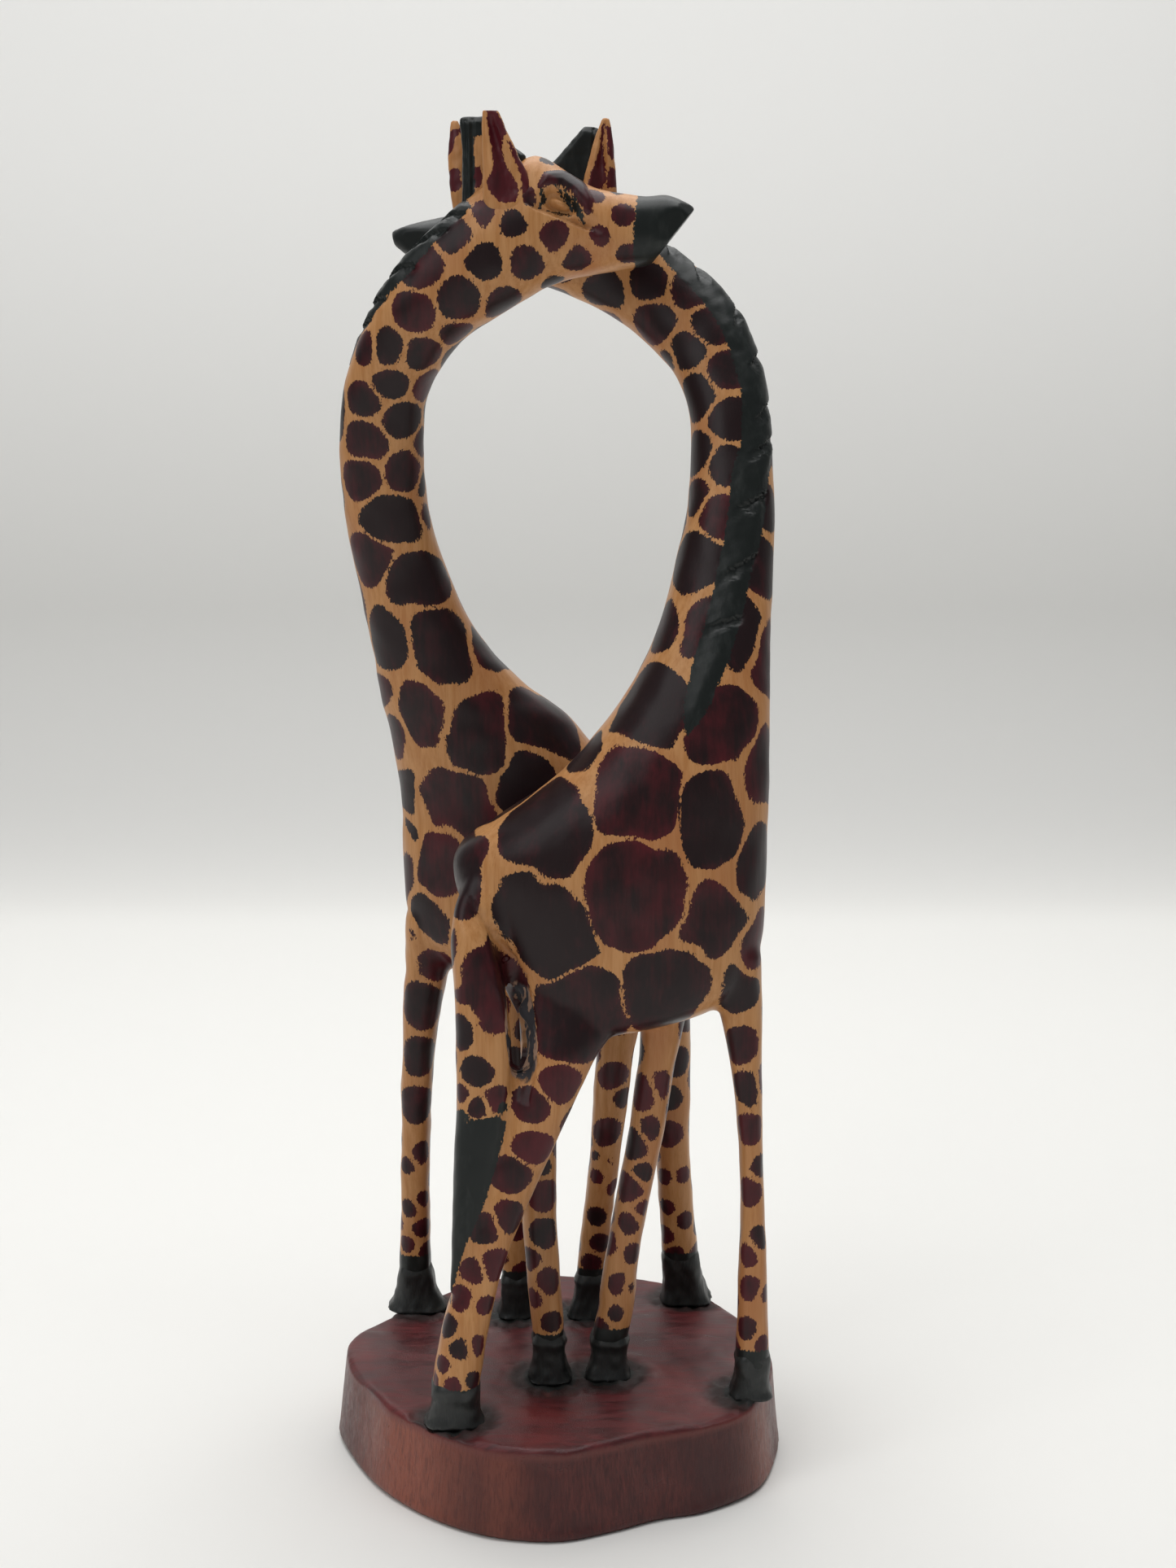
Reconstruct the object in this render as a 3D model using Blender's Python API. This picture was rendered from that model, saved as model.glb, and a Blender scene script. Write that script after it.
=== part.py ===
"""Two giraffes with crossed necks on one stained base, carved from a single log.

The statue stands on z = 0 with its base centred on the origin.  The front giraffe faces +X
and the rear giraffe faces -X, and each neck bends over until its head lies beside the other's.
The tables below are in millimetres; the build turns them into metres.
"""
import math

import bmesh
import bpy
from mathutils import Vector

MM = 0.001
GAP = 0.3                 # clear space between neighbouring pieces
BASE_HEIGHT = 21.0
BASE_EDGE = 1.4           # rounding of the base's rims
BASE_TAPER = 2.0          # how much the wall leans in by its top
RING_SIDES = 20           # facets round a neck or a torso
LEG_SIDES = 14
SQUARENESS = 2.25         # superellipse exponent of the carved sections
LEG_SQUARENESS = 2.7

TORSO_END = 9.0           # stations where one carved piece gives way to the next
NECK_END = 19.6
HEAD_END = 24.7

# A closed walk round the base, seen from above.
BASE_OUTLINE = [
    (52.8, 3), (51.5, -12), (46, -28), (34, -38.3), (23, -42), (13, -47.2), (2, -51.5),
    (-10, -50.8), (-21, -46.3), (-31.5, -38), (-41, -26.5), (-48.3, -12), (-52.8, 2), (-51, 13),
    (-45, 23),
    (-37.5, 33), (-29, 42), (-18, 48.5), (-4, 51), (14, 50.5), (29, 46.5), (38.5, 39), (45, 26),
    (50, 15),
]

# Body stations from the belly up to the tip of the muzzle:
# throat-side edge x, z; back-side edge x, z; middle y; half thickness along y.
FRONT_BODY = [
    (32.5, 109.5, 0, 102.5, -19, 4), (38.3, 113.2, -5, 104.3, -19, 10.5),
    (43.6, 119, -9.5, 112, -18.5, 14), (46, 128, -15.5, 125, -18, 15.3),
    (46.5, 139, -22, 138.5, -17.7, 16), (46.8, 150, -21.5, 147, -17.3, 15.7),
    (47, 160.5, -13, 153.5, -16.8, 15.2), (47, 169.5, -0.5, 162, -16, 14.5),
    (47, 179, 10, 173, -15, 13.5), (47, 187.5, 16.8, 182.8, -13.5, 12.3),
    (47.2, 197, 22, 193.5, -11.5, 11), (47.9, 208.5, 26.2, 207.5, -9, 9.6),
    (48.2, 221.5, 29, 221.5, -6, 8.8), (47.7, 234, 30, 232, -3, 8.4),
    (46.6, 245.6, 29.2, 243, 0, 8.2), (44.2, 255.4, 25.6, 251, 3, 8.1),
    (40.1, 264.2, 19.9, 257.2, 5.5, 8.1), (34.6, 270.9, 14, 261.8, 7.5, 8.1),
    (28.5, 275.8, 8.2, 265, 8.6, 8.1), (21.8, 280, 2.5, 267.6, 9, 8.3),
    (14, 284.8, -2.5, 269.2, 9, 8.5), (7, 288.6, -6.5, 270, 9, 8.6),
    (0, 291.2, -10.5, 270.6, 9, 8.5), (-6.5, 290.3, -13.5, 271, 9.2, 8.2),
    (-13, 288.1, -17.5, 271.6, 9.5, 7.6), (-20, 285.6, -22, 272.5, 10, 6.9),
    (-27.5, 284, -27.2, 273.6, 10.3, 6.2), (-33.3, 283.2, -32, 275, 10.5, 5.2),
    (-36.8, 281.2, -35.8, 277.6, 10.5, 2.6),
]
REAR_BODY = [
    (-22.5, 109.5, 11, 102.5, 19, 4), (-28.3, 113.2, 16, 104.3, 19, 10.5),
    (-33.6, 119, 20.5, 112, 18.5, 14), (-36, 128, 25.5, 125, 18, 15.3),
    (-36.5, 139, 32, 138.5, 17.7, 16), (-36.6, 149, 31.5, 147, 17.3, 15.7),
    (-37, 156, 22.5, 154, 16.8, 15.2), (-38, 163, 10.5, 163, 16, 14.5),
    (-39.4, 170.5, 1.7, 172.6, 15, 13.5), (-40.9, 177.5, -8.6, 180.5, 13.5, 12.3),
    (-42.6, 189.5, -17.6, 190.7, 11.5, 11), (-45.5, 205.3, -24.9, 206, 9, 9.6),
    (-47.5, 218.3, -28.6, 219.2, 6, 8.8), (-48.2, 231.5, -29.5, 232, 3, 8.4),
    (-47.4, 242, -28.5, 244, 0, 8.2), (-45, 251.8, -24.7, 251.6, -3, 8.1),
    (-41.6, 259.6, -19.5, 257.4, -5.5, 8.1), (-37.4, 267.2, -13, 261.5, -7.5, 8.1),
    (-32.4, 274, -7.5, 264.8, -8.6, 8.1), (-25.8, 280.6, -3, 267.3, -9, 8.3),
    (-18.5, 286.8, 0.5, 268.9, -9, 8.5), (-11, 291, 3.5, 269.8, -9, 8.6),
    (-4, 294.3, 6.5, 270.4, -9, 8.5), (3, 293, 10, 271, -9.2, 8.2),
    (10.5, 289.4, 14.5, 271.7, -9.5, 7.6), (18, 287, 19.8, 272.4, -10, 6.9),
    (24.3, 287.2, 24.5, 274.8, -10.3, 6.2), (28.5, 285.4, 27.4, 277.5, -10.5, 5),
    (30.2, 283, 29.2, 280, -10.5, 2.6),
]

# Where the mane lies round the neck: station, then degrees from the throat edge over the
# outer face.
MANE_TURN = [
    (8.3, 112), (9.3, 100), (10.2, 84), (11.1, 62), (12, 44), (13, 30), (14.5, 22), (16, 18),
    (18, 12), (19.4, 6),
]
MANE_HALF_WIDTH = 4.0
MANE_RISE = 1.6           # the ridge's crest above the neck

# Legs from the haunch or shoulder down to the top of the hoof: x, y, z, half sizes along x, y.
FRONT_LEGS = {
    "hind_outer": [(3, -21, 118, 12, 9), (2.5, -24.5, 108, 10.5, 8), (0.3, -26.5, 101, 8.2, 7.2),
                   (-5.2, -28, 86.5, 7, 6.4), (-11.9, -30, 69, 5.7, 5.6), (-16.5, -32, 55, 5, 5),
                   (-19.8, -34, 42.5, 5.3, 4.9), (-22, -35, 29.5, 5.2, 5)],
    "hind_inner": [(-2, -16, 112, 6.5, 6), (-3.3, -14.3, 98, 4.8, 4.8), (-4.1, -14, 75, 4.1, 4.1),
                   (-3.8, -13.2, 59, 4, 4.1), (-3.2, -12.8, 47, 3.9, 4), (-2, -12, 31, 3.6, 3.9)],
    "fore_inner": [(24.5, -14.5, 114, 6, 5.5), (23.3, -14, 100, 4.4, 4.5),
                   (21.9, -13.2, 90, 4.1, 4.2), (20, -12.8, 78, 4, 4.1), (17.9, -12, 66, 3.8, 4),
                   (15.2, -11, 50.5, 3.8, 3.9), (13.8, -10.3, 38, 4.1, 4),
                   (12.3, -10, 30, 4.1, 4.1)],
    "fore_outer": [(39, -19, 124, 6.5, 8), (41, -19.3, 111, 4.8, 6), (42.3, -19.7, 99.5, 3.6, 5),
                   (43.4, -20, 84.5, 2.8, 4.3), (44.2, -20.3, 69, 2.7, 4),
                   (44.4, -20.8, 54, 3.1, 4), (44.6, -21, 30, 3.8, 4.2)],
}
REAR_LEGS = {
    "hind_outer": [(19, 21, 119, 11, 9), (23.5, 24, 106, 7.5, 7.5), (26.9, 26, 93, 5.3, 6),
                   (27.8, 27, 78, 4.5, 5.2), (28.2, 28, 64.5, 4.2, 4.9), (28.9, 30, 51, 4.2, 4.7),
                   (30.4, 33, 33, 4.5, 4.8)],
    "hind_inner": [(16, 15, 112, 6.5, 6), (14.2, 14.3, 95, 4.7, 4.7), (12.7, 15.5, 81, 4.3, 4.3),
                   (11.4, 18, 64, 3.8, 4), (9.5, 22, 46, 3.6, 3.8), (8, 24.5, 31, 3.6, 3.8)],
    "fore_inner": [(-14, 14.5, 114, 6, 5.5), (-12.8, 15.5, 97, 4.4, 4.5), (-11.4, 18.5, 68, 4, 4.1),
                   (-10.7, 22, 46, 3.6, 3.8), (-10.6, 24.5, 31, 3.4, 3.7)],
    "fore_outer": [(-29.5, 18, 124, 6.5, 8), (-31.3, 18.4, 110.5, 5.3, 6.2),
                   (-33.2, 20, 96, 4.3, 5.2), (-34.5, 22.3, 79, 3.7, 4.4), (-35.4, 26, 53, 3.5, 4.1),
                   (-36, 29.3, 31, 4, 4.2)],
}

# Hooves: middle x, y at the foot, half sizes along x, y there.
FRONT_HOOVES = {"hind_outer": (-22.5, -35, 6.1, 5.6), "hind_inner": (-1.6, -12, 4.6, 4.6),
                "fore_inner": (11.8, -10, 4.8, 4.6), "fore_outer": (44.3, -21, 4.6, 5)}
REAR_HOOVES = {"hind_outer": (32, 34.8, 6, 5.4), "hind_inner": (6.8, 25, 4.4, 4.5),
               "fore_inner": (-10.8, 25, 4.1, 4.3), "fore_outer": (-35.6, 30, 6.6, 5.4)}

# Tail down the rump and, after it, the tuft: x, y, z, half sizes along x, y.
FRONT_TAIL = [(-17, -26, 137, 4.5, 5), (-17, -27.5, 129, 5.6, 5.8), (-16.2, -29, 117, 5.8, 5.6),
              (-15.4, -30.3, 103, 6.2, 5), (-15.8, -31, 92, 5.7, 4.6)]
FRONT_TUFT = [(-15.9, -31, 91.7, 5.7, 4.6), (-17.2, -31.7, 82, 4.9, 4.3),
              (-18.5, -32.6, 72, 3.9, 3.9), (-20.3, -34, 61.5, 2.3, 3), (-22, -35, 51, 1.2, 1.8)]
REAR_TAIL = [(26, 26, 137, 4.5, 5), (26.5, 28, 129, 4.8, 5.6), (27, 31, 117, 4.4, 5.2),
             (27.6, 34, 103, 3.9, 4.2), (28, 35.2, 92, 3.5, 3.6)]
REAR_TUFT = [(28, 35.2, 91.7, 3.5, 3.6), (28.4, 36.2, 82, 3.1, 3.4), (28.8, 37, 72, 2.5, 3),
             (29.4, 38, 62, 1.8, 2.3), (30, 39, 54, 1, 1.5)]

# Ears: root x, y, z; tip x, y, z; widest half sizes along x, y.
FRONT_EARS = {"near": ((8.6, 3.6, 284), (10.9, 3, 305), 3.7, 2.5),
              "far": ((8.5, 14.6, 284), (10.5, 15.4, 304), 3.7, 2.5)}
REAR_EARS = {"near": ((-9.2, -15, 284), (-13, -15.6, 304), 4.4, 2.6),
             "far": ((-17.5, -3.2, 283), (-21.6, -2.8, 303.6), 3.7, 2.3)}
# The horns are left as one block between the ears: side view corners x, z, then middle y.
FRONT_HORNS = ([(11, 281), (-3.5, 284), (-3.2, 293.2), (6.4, 303.8), (9.6, 303.4)], 9.2)
REAR_HORNS = ([(-19.5, 280), (-5, 288), (-5, 297), (-14.3, 303.4), (-19.8, 303)], -9)
HORN_HALF_WIDTH = 2.6


def clear_scene():
    for leftover in list(bpy.data.objects):
        bpy.data.objects.remove(leftover, do_unlink=True)


def blend_rows(rows, place):
    """A Catmull-Rom spline through the rows of a table, read at a fractional row number."""
    last = len(rows) - 1
    index = min(int(place), last - 1)
    f = place - index
    before, start = rows[max(index - 1, 0)], rows[index]
    end, after = rows[index + 1], rows[min(index + 2, last)]
    return [0.5 * (2 * b + (c - a) * f + (2 * a - 5 * b + 4 * c - d) * f * f
                   + (3 * b - a - 3 * c + d) * f ** 3)
            for a, b, c, d in zip(before, start, end, after)]


def superellipse(centre, across, depth, sides, exponent):
    ring = []
    for step in range(sides):
        turn = 2 * math.pi * step / sides
        c, s = math.cos(turn), math.sin(turn)
        along = math.copysign(abs(c) ** (2 / exponent), c)
        out = math.copysign(abs(s) ** (2 / exponent), s)
        ring.append(centre + across * along + depth * out)
    return ring


def body_section(table, place, grow=0.0):
    """Middle of a body section, with its throat-side and outer half axes."""
    throat_x, throat_z, back_x, back_z, y, half = blend_rows(table, place)
    throat = Vector((throat_x, y, throat_z))
    back = Vector((back_x, y, back_z))
    across = (throat - back) / 2
    across += across.normalized() * grow
    outward = Vector((0, math.copysign(half + grow, table[4][4]), 0))
    return (throat + back) / 2, across, outward


def body_rings(table, first, last, steps, grow=0.0):
    rings = []
    for step in range(steps + 1):
        place = first + (last - first) * step / steps
        rings.append(superellipse(*body_section(table, place, grow), RING_SIDES, SQUARENESS))
    return rings


def leg_rings(table, steps, grow=0.0, sides=LEG_SIDES):
    rings = []
    for step in range(steps + 1):
        x, y, z, half_x, half_y = blend_rows(table, (len(table) - 1) * step / steps)
        rings.append(superellipse(Vector((x, y, z)), Vector((half_x + grow, 0, 0)),
                                  Vector((0, half_y + grow, 0)), sides, LEG_SQUARENESS))
    return rings


def make_object(name, mesh_data, material):
    """A mesh object from a bmesh in millimetres, faces turned outwards."""
    bmesh.ops.recalc_face_normals(mesh_data, faces=mesh_data.faces)
    bmesh.ops.scale(mesh_data, vec=(MM, MM, MM), verts=mesh_data.verts)
    mesh = bpy.data.meshes.new(name)
    mesh_data.to_mesh(mesh)
    mesh_data.free()
    mesh.shade_smooth()
    mesh.set_sharp_from_angle(angle=math.radians(40))
    if material:
        mesh.materials.append(material)
    piece = bpy.data.objects.new(name, mesh)
    bpy.context.collection.objects.link(piece)
    return piece


def loft(name, rings, material=None):
    """A closed skin through rings of equal length, with a flat cap on each end."""
    mesh_data = bmesh.new()
    rows = [[mesh_data.verts.new(point) for point in ring] for ring in rings]
    count = len(rows[0])
    for low, high in zip(rows, rows[1:]):
        for i in range(count):
            j = (i + 1) % count
            mesh_data.faces.new((low[i], low[j], high[j], high[i]))
    mesh_data.faces.new(rows[0][::-1])
    mesh_data.faces.new(rows[-1])
    return make_object(name, mesh_data, material)


def hide_cutter(cutter):
    cutter.hide_render = True
    cutter.display_type = "WIRE"
    return cutter


def cut(piece, cutters):
    for cutter in cutters:
        modifier = piece.modifiers.new("cut by " + cutter.name, "BOOLEAN")
        modifier.operation = "DIFFERENCE"
        modifier.solver = "EXACT"
        modifier.object = cutter


def make_material(name, colour, roughness):
    material = bpy.data.materials.new(name)
    material.use_nodes = True
    shader = material.node_tree.nodes["Principled BSDF"]
    shader.inputs["Base Color"].default_value = (*colour, 1)
    shader.inputs["Roughness"].default_value = roughness
    shader.inputs["Metallic"].default_value = 0
    return material


def rounded_outline(points, samples):
    """The closed walk round the base, smoothed between its corners."""
    count = len(points)
    walk = []
    for corner in range(count):
        near = [points[(corner + offset) % count] for offset in (-1, 0, 1, 2)]
        for step in range(samples):
            x, y = blend_rows(near, 1 + step / samples)
            walk.append((x, y))
    return walk


def build_base(material):
    outline = rounded_outline(BASE_OUTLINE, 2)
    levels = [(0, BASE_EDGE), (BASE_EDGE, 0), (BASE_HEIGHT - BASE_EDGE, BASE_TAPER),
              (BASE_HEIGHT, BASE_TAPER + BASE_EDGE)]
    reach = max(math.hypot(x, y) for x, y in outline)
    rings = []
    for z, inset in levels:
        shrink = 1 - inset / reach
        rings.append([Vector((x * shrink, y * shrink, z)) for x, y in outline])
    loft("base", rings, material)


def build_mane(name, table, material):
    """A low ridge that winds round the neck, ends tapered."""
    rings = []
    steps = 34
    first, last = MANE_TURN[0][0], MANE_TURN[-1][0]
    for step in range(steps + 1):
        place = first + (last - first) * step / steps
        row = 0
        while row < len(MANE_TURN) - 2 and MANE_TURN[row + 1][0] < place:
            row += 1
        (start, turn_a), (end, turn_b) = MANE_TURN[row], MANE_TURN[row + 1]
        turn = math.radians(turn_a + (turn_b - turn_a) * (place - start) / (end - start))
        centre, across, outward = body_section(table, place)
        radial = across * math.cos(turn) + outward * math.sin(turn)
        tangent = (-across * math.sin(turn) + outward * math.cos(turn)).normalized()
        normal = (across * math.cos(turn) / across.length_squared
                  + outward * math.sin(turn) / outward.length_squared).normalized()
        taper = min(1.0, 0.35 + 3.2 * min(step, steps - step) / steps)
        rings.append(superellipse(centre + radial, tangent * MANE_HALF_WIDTH * taper,
                                  normal * MANE_RISE * taper, 10, 2))
    return loft(name, rings, material)


def build_ear(name, root, tip, half_x, half_y, material, grow=0.0):
    """A leaf: narrow at the root, widest a third of the way up, sharp at the tip."""
    low, high = Vector(root), Vector(tip)
    rings = []
    for share, width in ((0, 0.62), (0.22, 0.86), (0.42, 1), (0.62, 0.86), (0.82, 0.52), (1, 0.14)):
        rings.append(superellipse(low.lerp(high, share), Vector((half_x * width + grow, 0, 0)),
                                  Vector((0, half_y * width + grow, 0)), 12, 2))
    return loft(name, rings, material)


def build_horns(name, profile, y, material):
    corners = [Vector((x, y, z)) for x, z in profile]
    middle = sum(corners, Vector()) / len(corners)
    rings = []
    for offset, size in ((-1, 0.86), (-0.62, 1), (0.62, 1), (1, 0.86)):
        shift = Vector((0, offset * HORN_HALF_WIDTH, 0))
        rings.append([middle.lerp(corner, size) + shift for corner in corners])
    return loft(name, rings, material)


def build_leg(prefix, side, legs, hooves, spotted, black, cutters):
    table = legs[side]
    leg = loft(f"{prefix}_{side}_leg", leg_rings(table, 11), spotted)
    cut(leg, cutters)
    ankle = table[-1]
    x, y, half_x, half_y = hooves[side]
    top = ankle[2] - GAP
    foot = BASE_HEIGHT + GAP
    hoof_table = [(ankle[0], ankle[1], top, ankle[3] + 0.5, ankle[4] + 0.5),
                  (0.5 * (ankle[0] + x), 0.5 * (ankle[1] + y), 0.5 * (top + foot), half_x * 0.93,
                   half_y * 0.93),
                  (x, y, foot, half_x, half_y)]
    loft(f"{prefix}_{side}_hoof", leg_rings(hoof_table, 3), black)


def build_giraffe(prefix, table, legs, hooves, tail, tuft, ears, horns, spotted, black):
    """One animal as its carved and painted pieces."""
    seam = GAP / 2 / 10           # half a gap, in stations: they lie about 10 mm apart
    loft(f"{prefix}_torso", body_rings(table, 0, TORSO_END - seam, 16), spotted)
    loft(f"{prefix}_neck", body_rings(table, TORSO_END + seam, NECK_END - seam, 22), spotted)
    loft(f"{prefix}_head", body_rings(table, NECK_END + seam, HEAD_END - 1.5 * seam, 10), spotted)
    loft(f"{prefix}_muzzle", body_rings(table, HEAD_END + 1.5 * seam, len(table) - 1, 6), black)

    body_cutter = hide_cutter(loft(f"{prefix}_body_space",
                                   body_rings(table, 0, HEAD_END, 49, GAP)))
    leg_cutter = hide_cutter(loft(f"{prefix}_haunch_space",
                                  leg_rings(legs["hind_outer"], 11, GAP)))
    for side in legs:
        cutters = [body_cutter, leg_cutter] if side == "hind_inner" else [body_cutter]
        build_leg(prefix, side, legs, hooves, spotted, black, cutters)

    cut(loft(f"{prefix}_tail", leg_rings(tail, 7), spotted), [body_cutter, leg_cutter])
    lowered = [(x, y, z - GAP, half_x, half_y) for x, y, z, half_x, half_y in tuft]
    cut(loft(f"{prefix}_tail_tuft", leg_rings(lowered, 7), black), [body_cutter, leg_cutter])

    cut(build_mane(f"{prefix}_mane", table, black), [body_cutter])
    ear_cutters = []
    for side, (root, tip, half_x, half_y) in ears.items():
        cut(build_ear(f"{prefix}_{side}_ear", root, tip, half_x, half_y, spotted), [body_cutter])
        ear_cutters.append(hide_cutter(build_ear(f"{prefix}_{side}_ear_space", root, tip, half_x,
                                                 half_y, None, GAP)))
    profile, middle_y = horns
    cut(build_horns(f"{prefix}_horns", profile, middle_y, black), [body_cutter, *ear_cutters])


def main():
    clear_scene()
    spotted = make_material("spotted_wood", (0.42, 0.19, 0.06), 0.45)
    black = make_material("black_paint", (0.02, 0.022, 0.02), 0.5)
    stained = make_material("stained_base", (0.16, 0.04, 0.03), 0.5)
    build_base(stained)
    build_giraffe("front", FRONT_BODY, FRONT_LEGS, FRONT_HOOVES, FRONT_TAIL, FRONT_TUFT,
                  FRONT_EARS, FRONT_HORNS, spotted, black)
    build_giraffe("rear", REAR_BODY, REAR_LEGS, REAR_HOOVES, REAR_TAIL, REAR_TUFT,
                  REAR_EARS, REAR_HORNS, spotted, black)


main()
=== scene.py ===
"""The looks of the carved giraffe statue: two painted wooden giraffes on one stained base.

Shapes are built in millimetres in the frame's own axes and turned into metres at the end.
The front giraffe stands with its chest to +X and its outer side to -Y, the rear one with its
chest to -X and its outer side to +Y. Their necks cross, so each head points the other way.
"""
import math

import bmesh
import bpy
import numpy as np
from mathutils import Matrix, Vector
from mathutils.bvhtree import BVHTree

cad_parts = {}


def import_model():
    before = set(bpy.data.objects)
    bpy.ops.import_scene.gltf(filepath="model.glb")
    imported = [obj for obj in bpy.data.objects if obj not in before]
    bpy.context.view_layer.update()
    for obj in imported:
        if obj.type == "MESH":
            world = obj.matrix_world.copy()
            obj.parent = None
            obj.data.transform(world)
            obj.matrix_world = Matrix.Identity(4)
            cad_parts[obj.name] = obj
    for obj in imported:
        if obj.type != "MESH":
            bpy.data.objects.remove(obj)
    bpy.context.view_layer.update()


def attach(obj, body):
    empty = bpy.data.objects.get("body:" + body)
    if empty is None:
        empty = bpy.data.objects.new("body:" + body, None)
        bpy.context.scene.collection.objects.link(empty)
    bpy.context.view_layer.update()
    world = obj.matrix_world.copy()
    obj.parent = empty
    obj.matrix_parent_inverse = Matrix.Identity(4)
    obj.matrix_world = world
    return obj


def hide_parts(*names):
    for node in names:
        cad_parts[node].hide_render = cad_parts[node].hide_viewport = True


MM = 0.001

BASE_HEIGHT = 21.0
BASE_EDGE = 1.4
BASE_TAPER = 2.0
BODY_SIDES = 56
BODY_RINGS = 260
LEG_SIDES = 28
SPINE_STEPS = 561
NOISE_WAVES = 14
HORN_HALF_WIDTH = 2.6
# 2 gives oval sections, more gives squarer ones.
OVAL = 2
SQUARENESS = 2.25
LEG_SQUARENESS = 2.7
HOOF_SQUARENESS = 3.4
# Sizes of the squares that the skins are made of.
SKIN_VOXEL = 0.74
EAR_VOXEL = 0.36
HOOF_VOXEL = 0.42
BASE_VOXEL = 0.75

# Body stations, counted along FRONT_BODY and REAR_BODY, then two heights.
EYE_STATION = 22.3
EYE_CUT_STATION = 22.05
MUZZLE_PAINT_STATION = 24.62
BELLY_HEIGHT = 112.0
TUFT_TOP = 91.0
# What a paint or patch field says far from any paint, and a distance that means far away.
BARE = -9.0
FAR = 99.0
SEEDS_TRIED = 26000

# How deep or high the carving goes.
MANE_RIDGE = 0.5
MANE_CUT = 0.9
EYE_SOCKET = 2.0
EYE_LID = 1.8
CHEEK_CUT = 1.7
BROW_RIDGE = 0.7
HAUNCH_CUT = 2.0
TORN_NOTCH = 1.3
EAR_HOLLOW = 1.5
HORN_GROOVE = 0.55

# The camera and the studio sweep, in metres and degrees.
CAMERA_PLACE = (0.0072, -0.489, 0.2382)
CAMERA_TILT = 80.7
CAMERA_LENS = 49.97
SWEEP_WIDTH = 5.0
SWEEP_FRONT = -2.5
SWEEP_HEIGHT = 1.6
BEND_FROM = 0.58
BEND_RADIUS = 0.14
BEND_STEPS = 24

# Colours: bare wood, maroon stain, black paint, torn wood, the base with a painted highlight on its
# rim and painted glints on its top, and the studio, whose wall is painted greyer low down as painted
# shade and lighter higher up as painted light.
PALE_WOOD = (0.54, 0.272, 0.108)
WARM_WOOD = (0.44, 0.196, 0.064)
GRAIN_LINE = (0.27, 0.105, 0.028)
RUDDY_WOOD = (0.40, 0.150, 0.055)
DARK_STAIN = (0.0135, 0.0052, 0.0060)
RED_STAIN = (0.082, 0.0092, 0.0135)
SKIN_BLACK = (0.0100, 0.0128, 0.0118)
SKIN_BLACK_WORN = (0.026, 0.030, 0.028)
SPLINTER_DARK = (0.046, 0.044, 0.050)
SPLINTER_PALE = (0.38, 0.235, 0.16)
HOOF_BLACK = (0.0095, 0.0115, 0.0108)
HOOF_BLACK_WORN = (0.026, 0.028, 0.026)
HOOF_SCUFF = (0.05, 0.045, 0.038)
SIDE_DARK = (0.050, 0.0095, 0.0092)
SIDE_RED = (0.118, 0.0250, 0.0205)
SIDE_LINE = (0.050, 0.012, 0.011)
SIDE_CLOUD = (0.042, 0.0085, 0.0090)
SIDE_WORN = (0.29, 0.078, 0.044)
TOP_DARK = (0.058, 0.0115, 0.0130)
TOP_RED = (0.115, 0.0190, 0.0210)
# Lighter red clouds on the base top: stain that varies, and partly painted glints.
TOP_CLOUD_AND_GLINT = (0.19, 0.027, 0.026)
TOP_SCRAPED = (0.028, 0.014, 0.013)
# A painted highlight along the base's top rim.
RIM_HIGHLIGHT = (0.17, 0.050, 0.040)
INK = (0.011, 0.012, 0.011)
FLOOR_WHITE = (0.82, 0.813, 0.785)
# The wall is greyer low down as painted shade and lighter higher up as painted light.
BACKDROP_SHADED_LOW = (0.63, 0.625, 0.605)
BACKDROP_LIT_HIGH = (0.86, 0.855, 0.835)
ROOM_LIGHT = (0.95, 0.97, 1, 1)

# A closed walk round the base, seen from above.
BASE_OUTLINE = [
    (52.8, 3), (51.5, -12), (46, -28), (34, -38.3), (23, -42), (13, -47.2), (2, -51.5),
    (-10, -50.8), (-21, -46.3), (-31.5, -38), (-41, -26.5), (-48.3, -12), (-52.8, 2), (-51, 13),
    (-45, 23), (-37.5, 33), (-29, 42), (-18, 48.5), (-4, 51), (14, 50.5), (29, 46.5), (38.5, 39),
    (45, 26), (50, 15),
]

# Where the stain on the base's wall is worn pale: degrees from +X, spread, strength.
PALE_SIDES = [(-135, 22, 0.9), (-104, 7, 0.4), (-26, 9, 0.6), (-2, 12, 0.35), (65, 20, 0.6),
              (150, 22, 0.5)]

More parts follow.
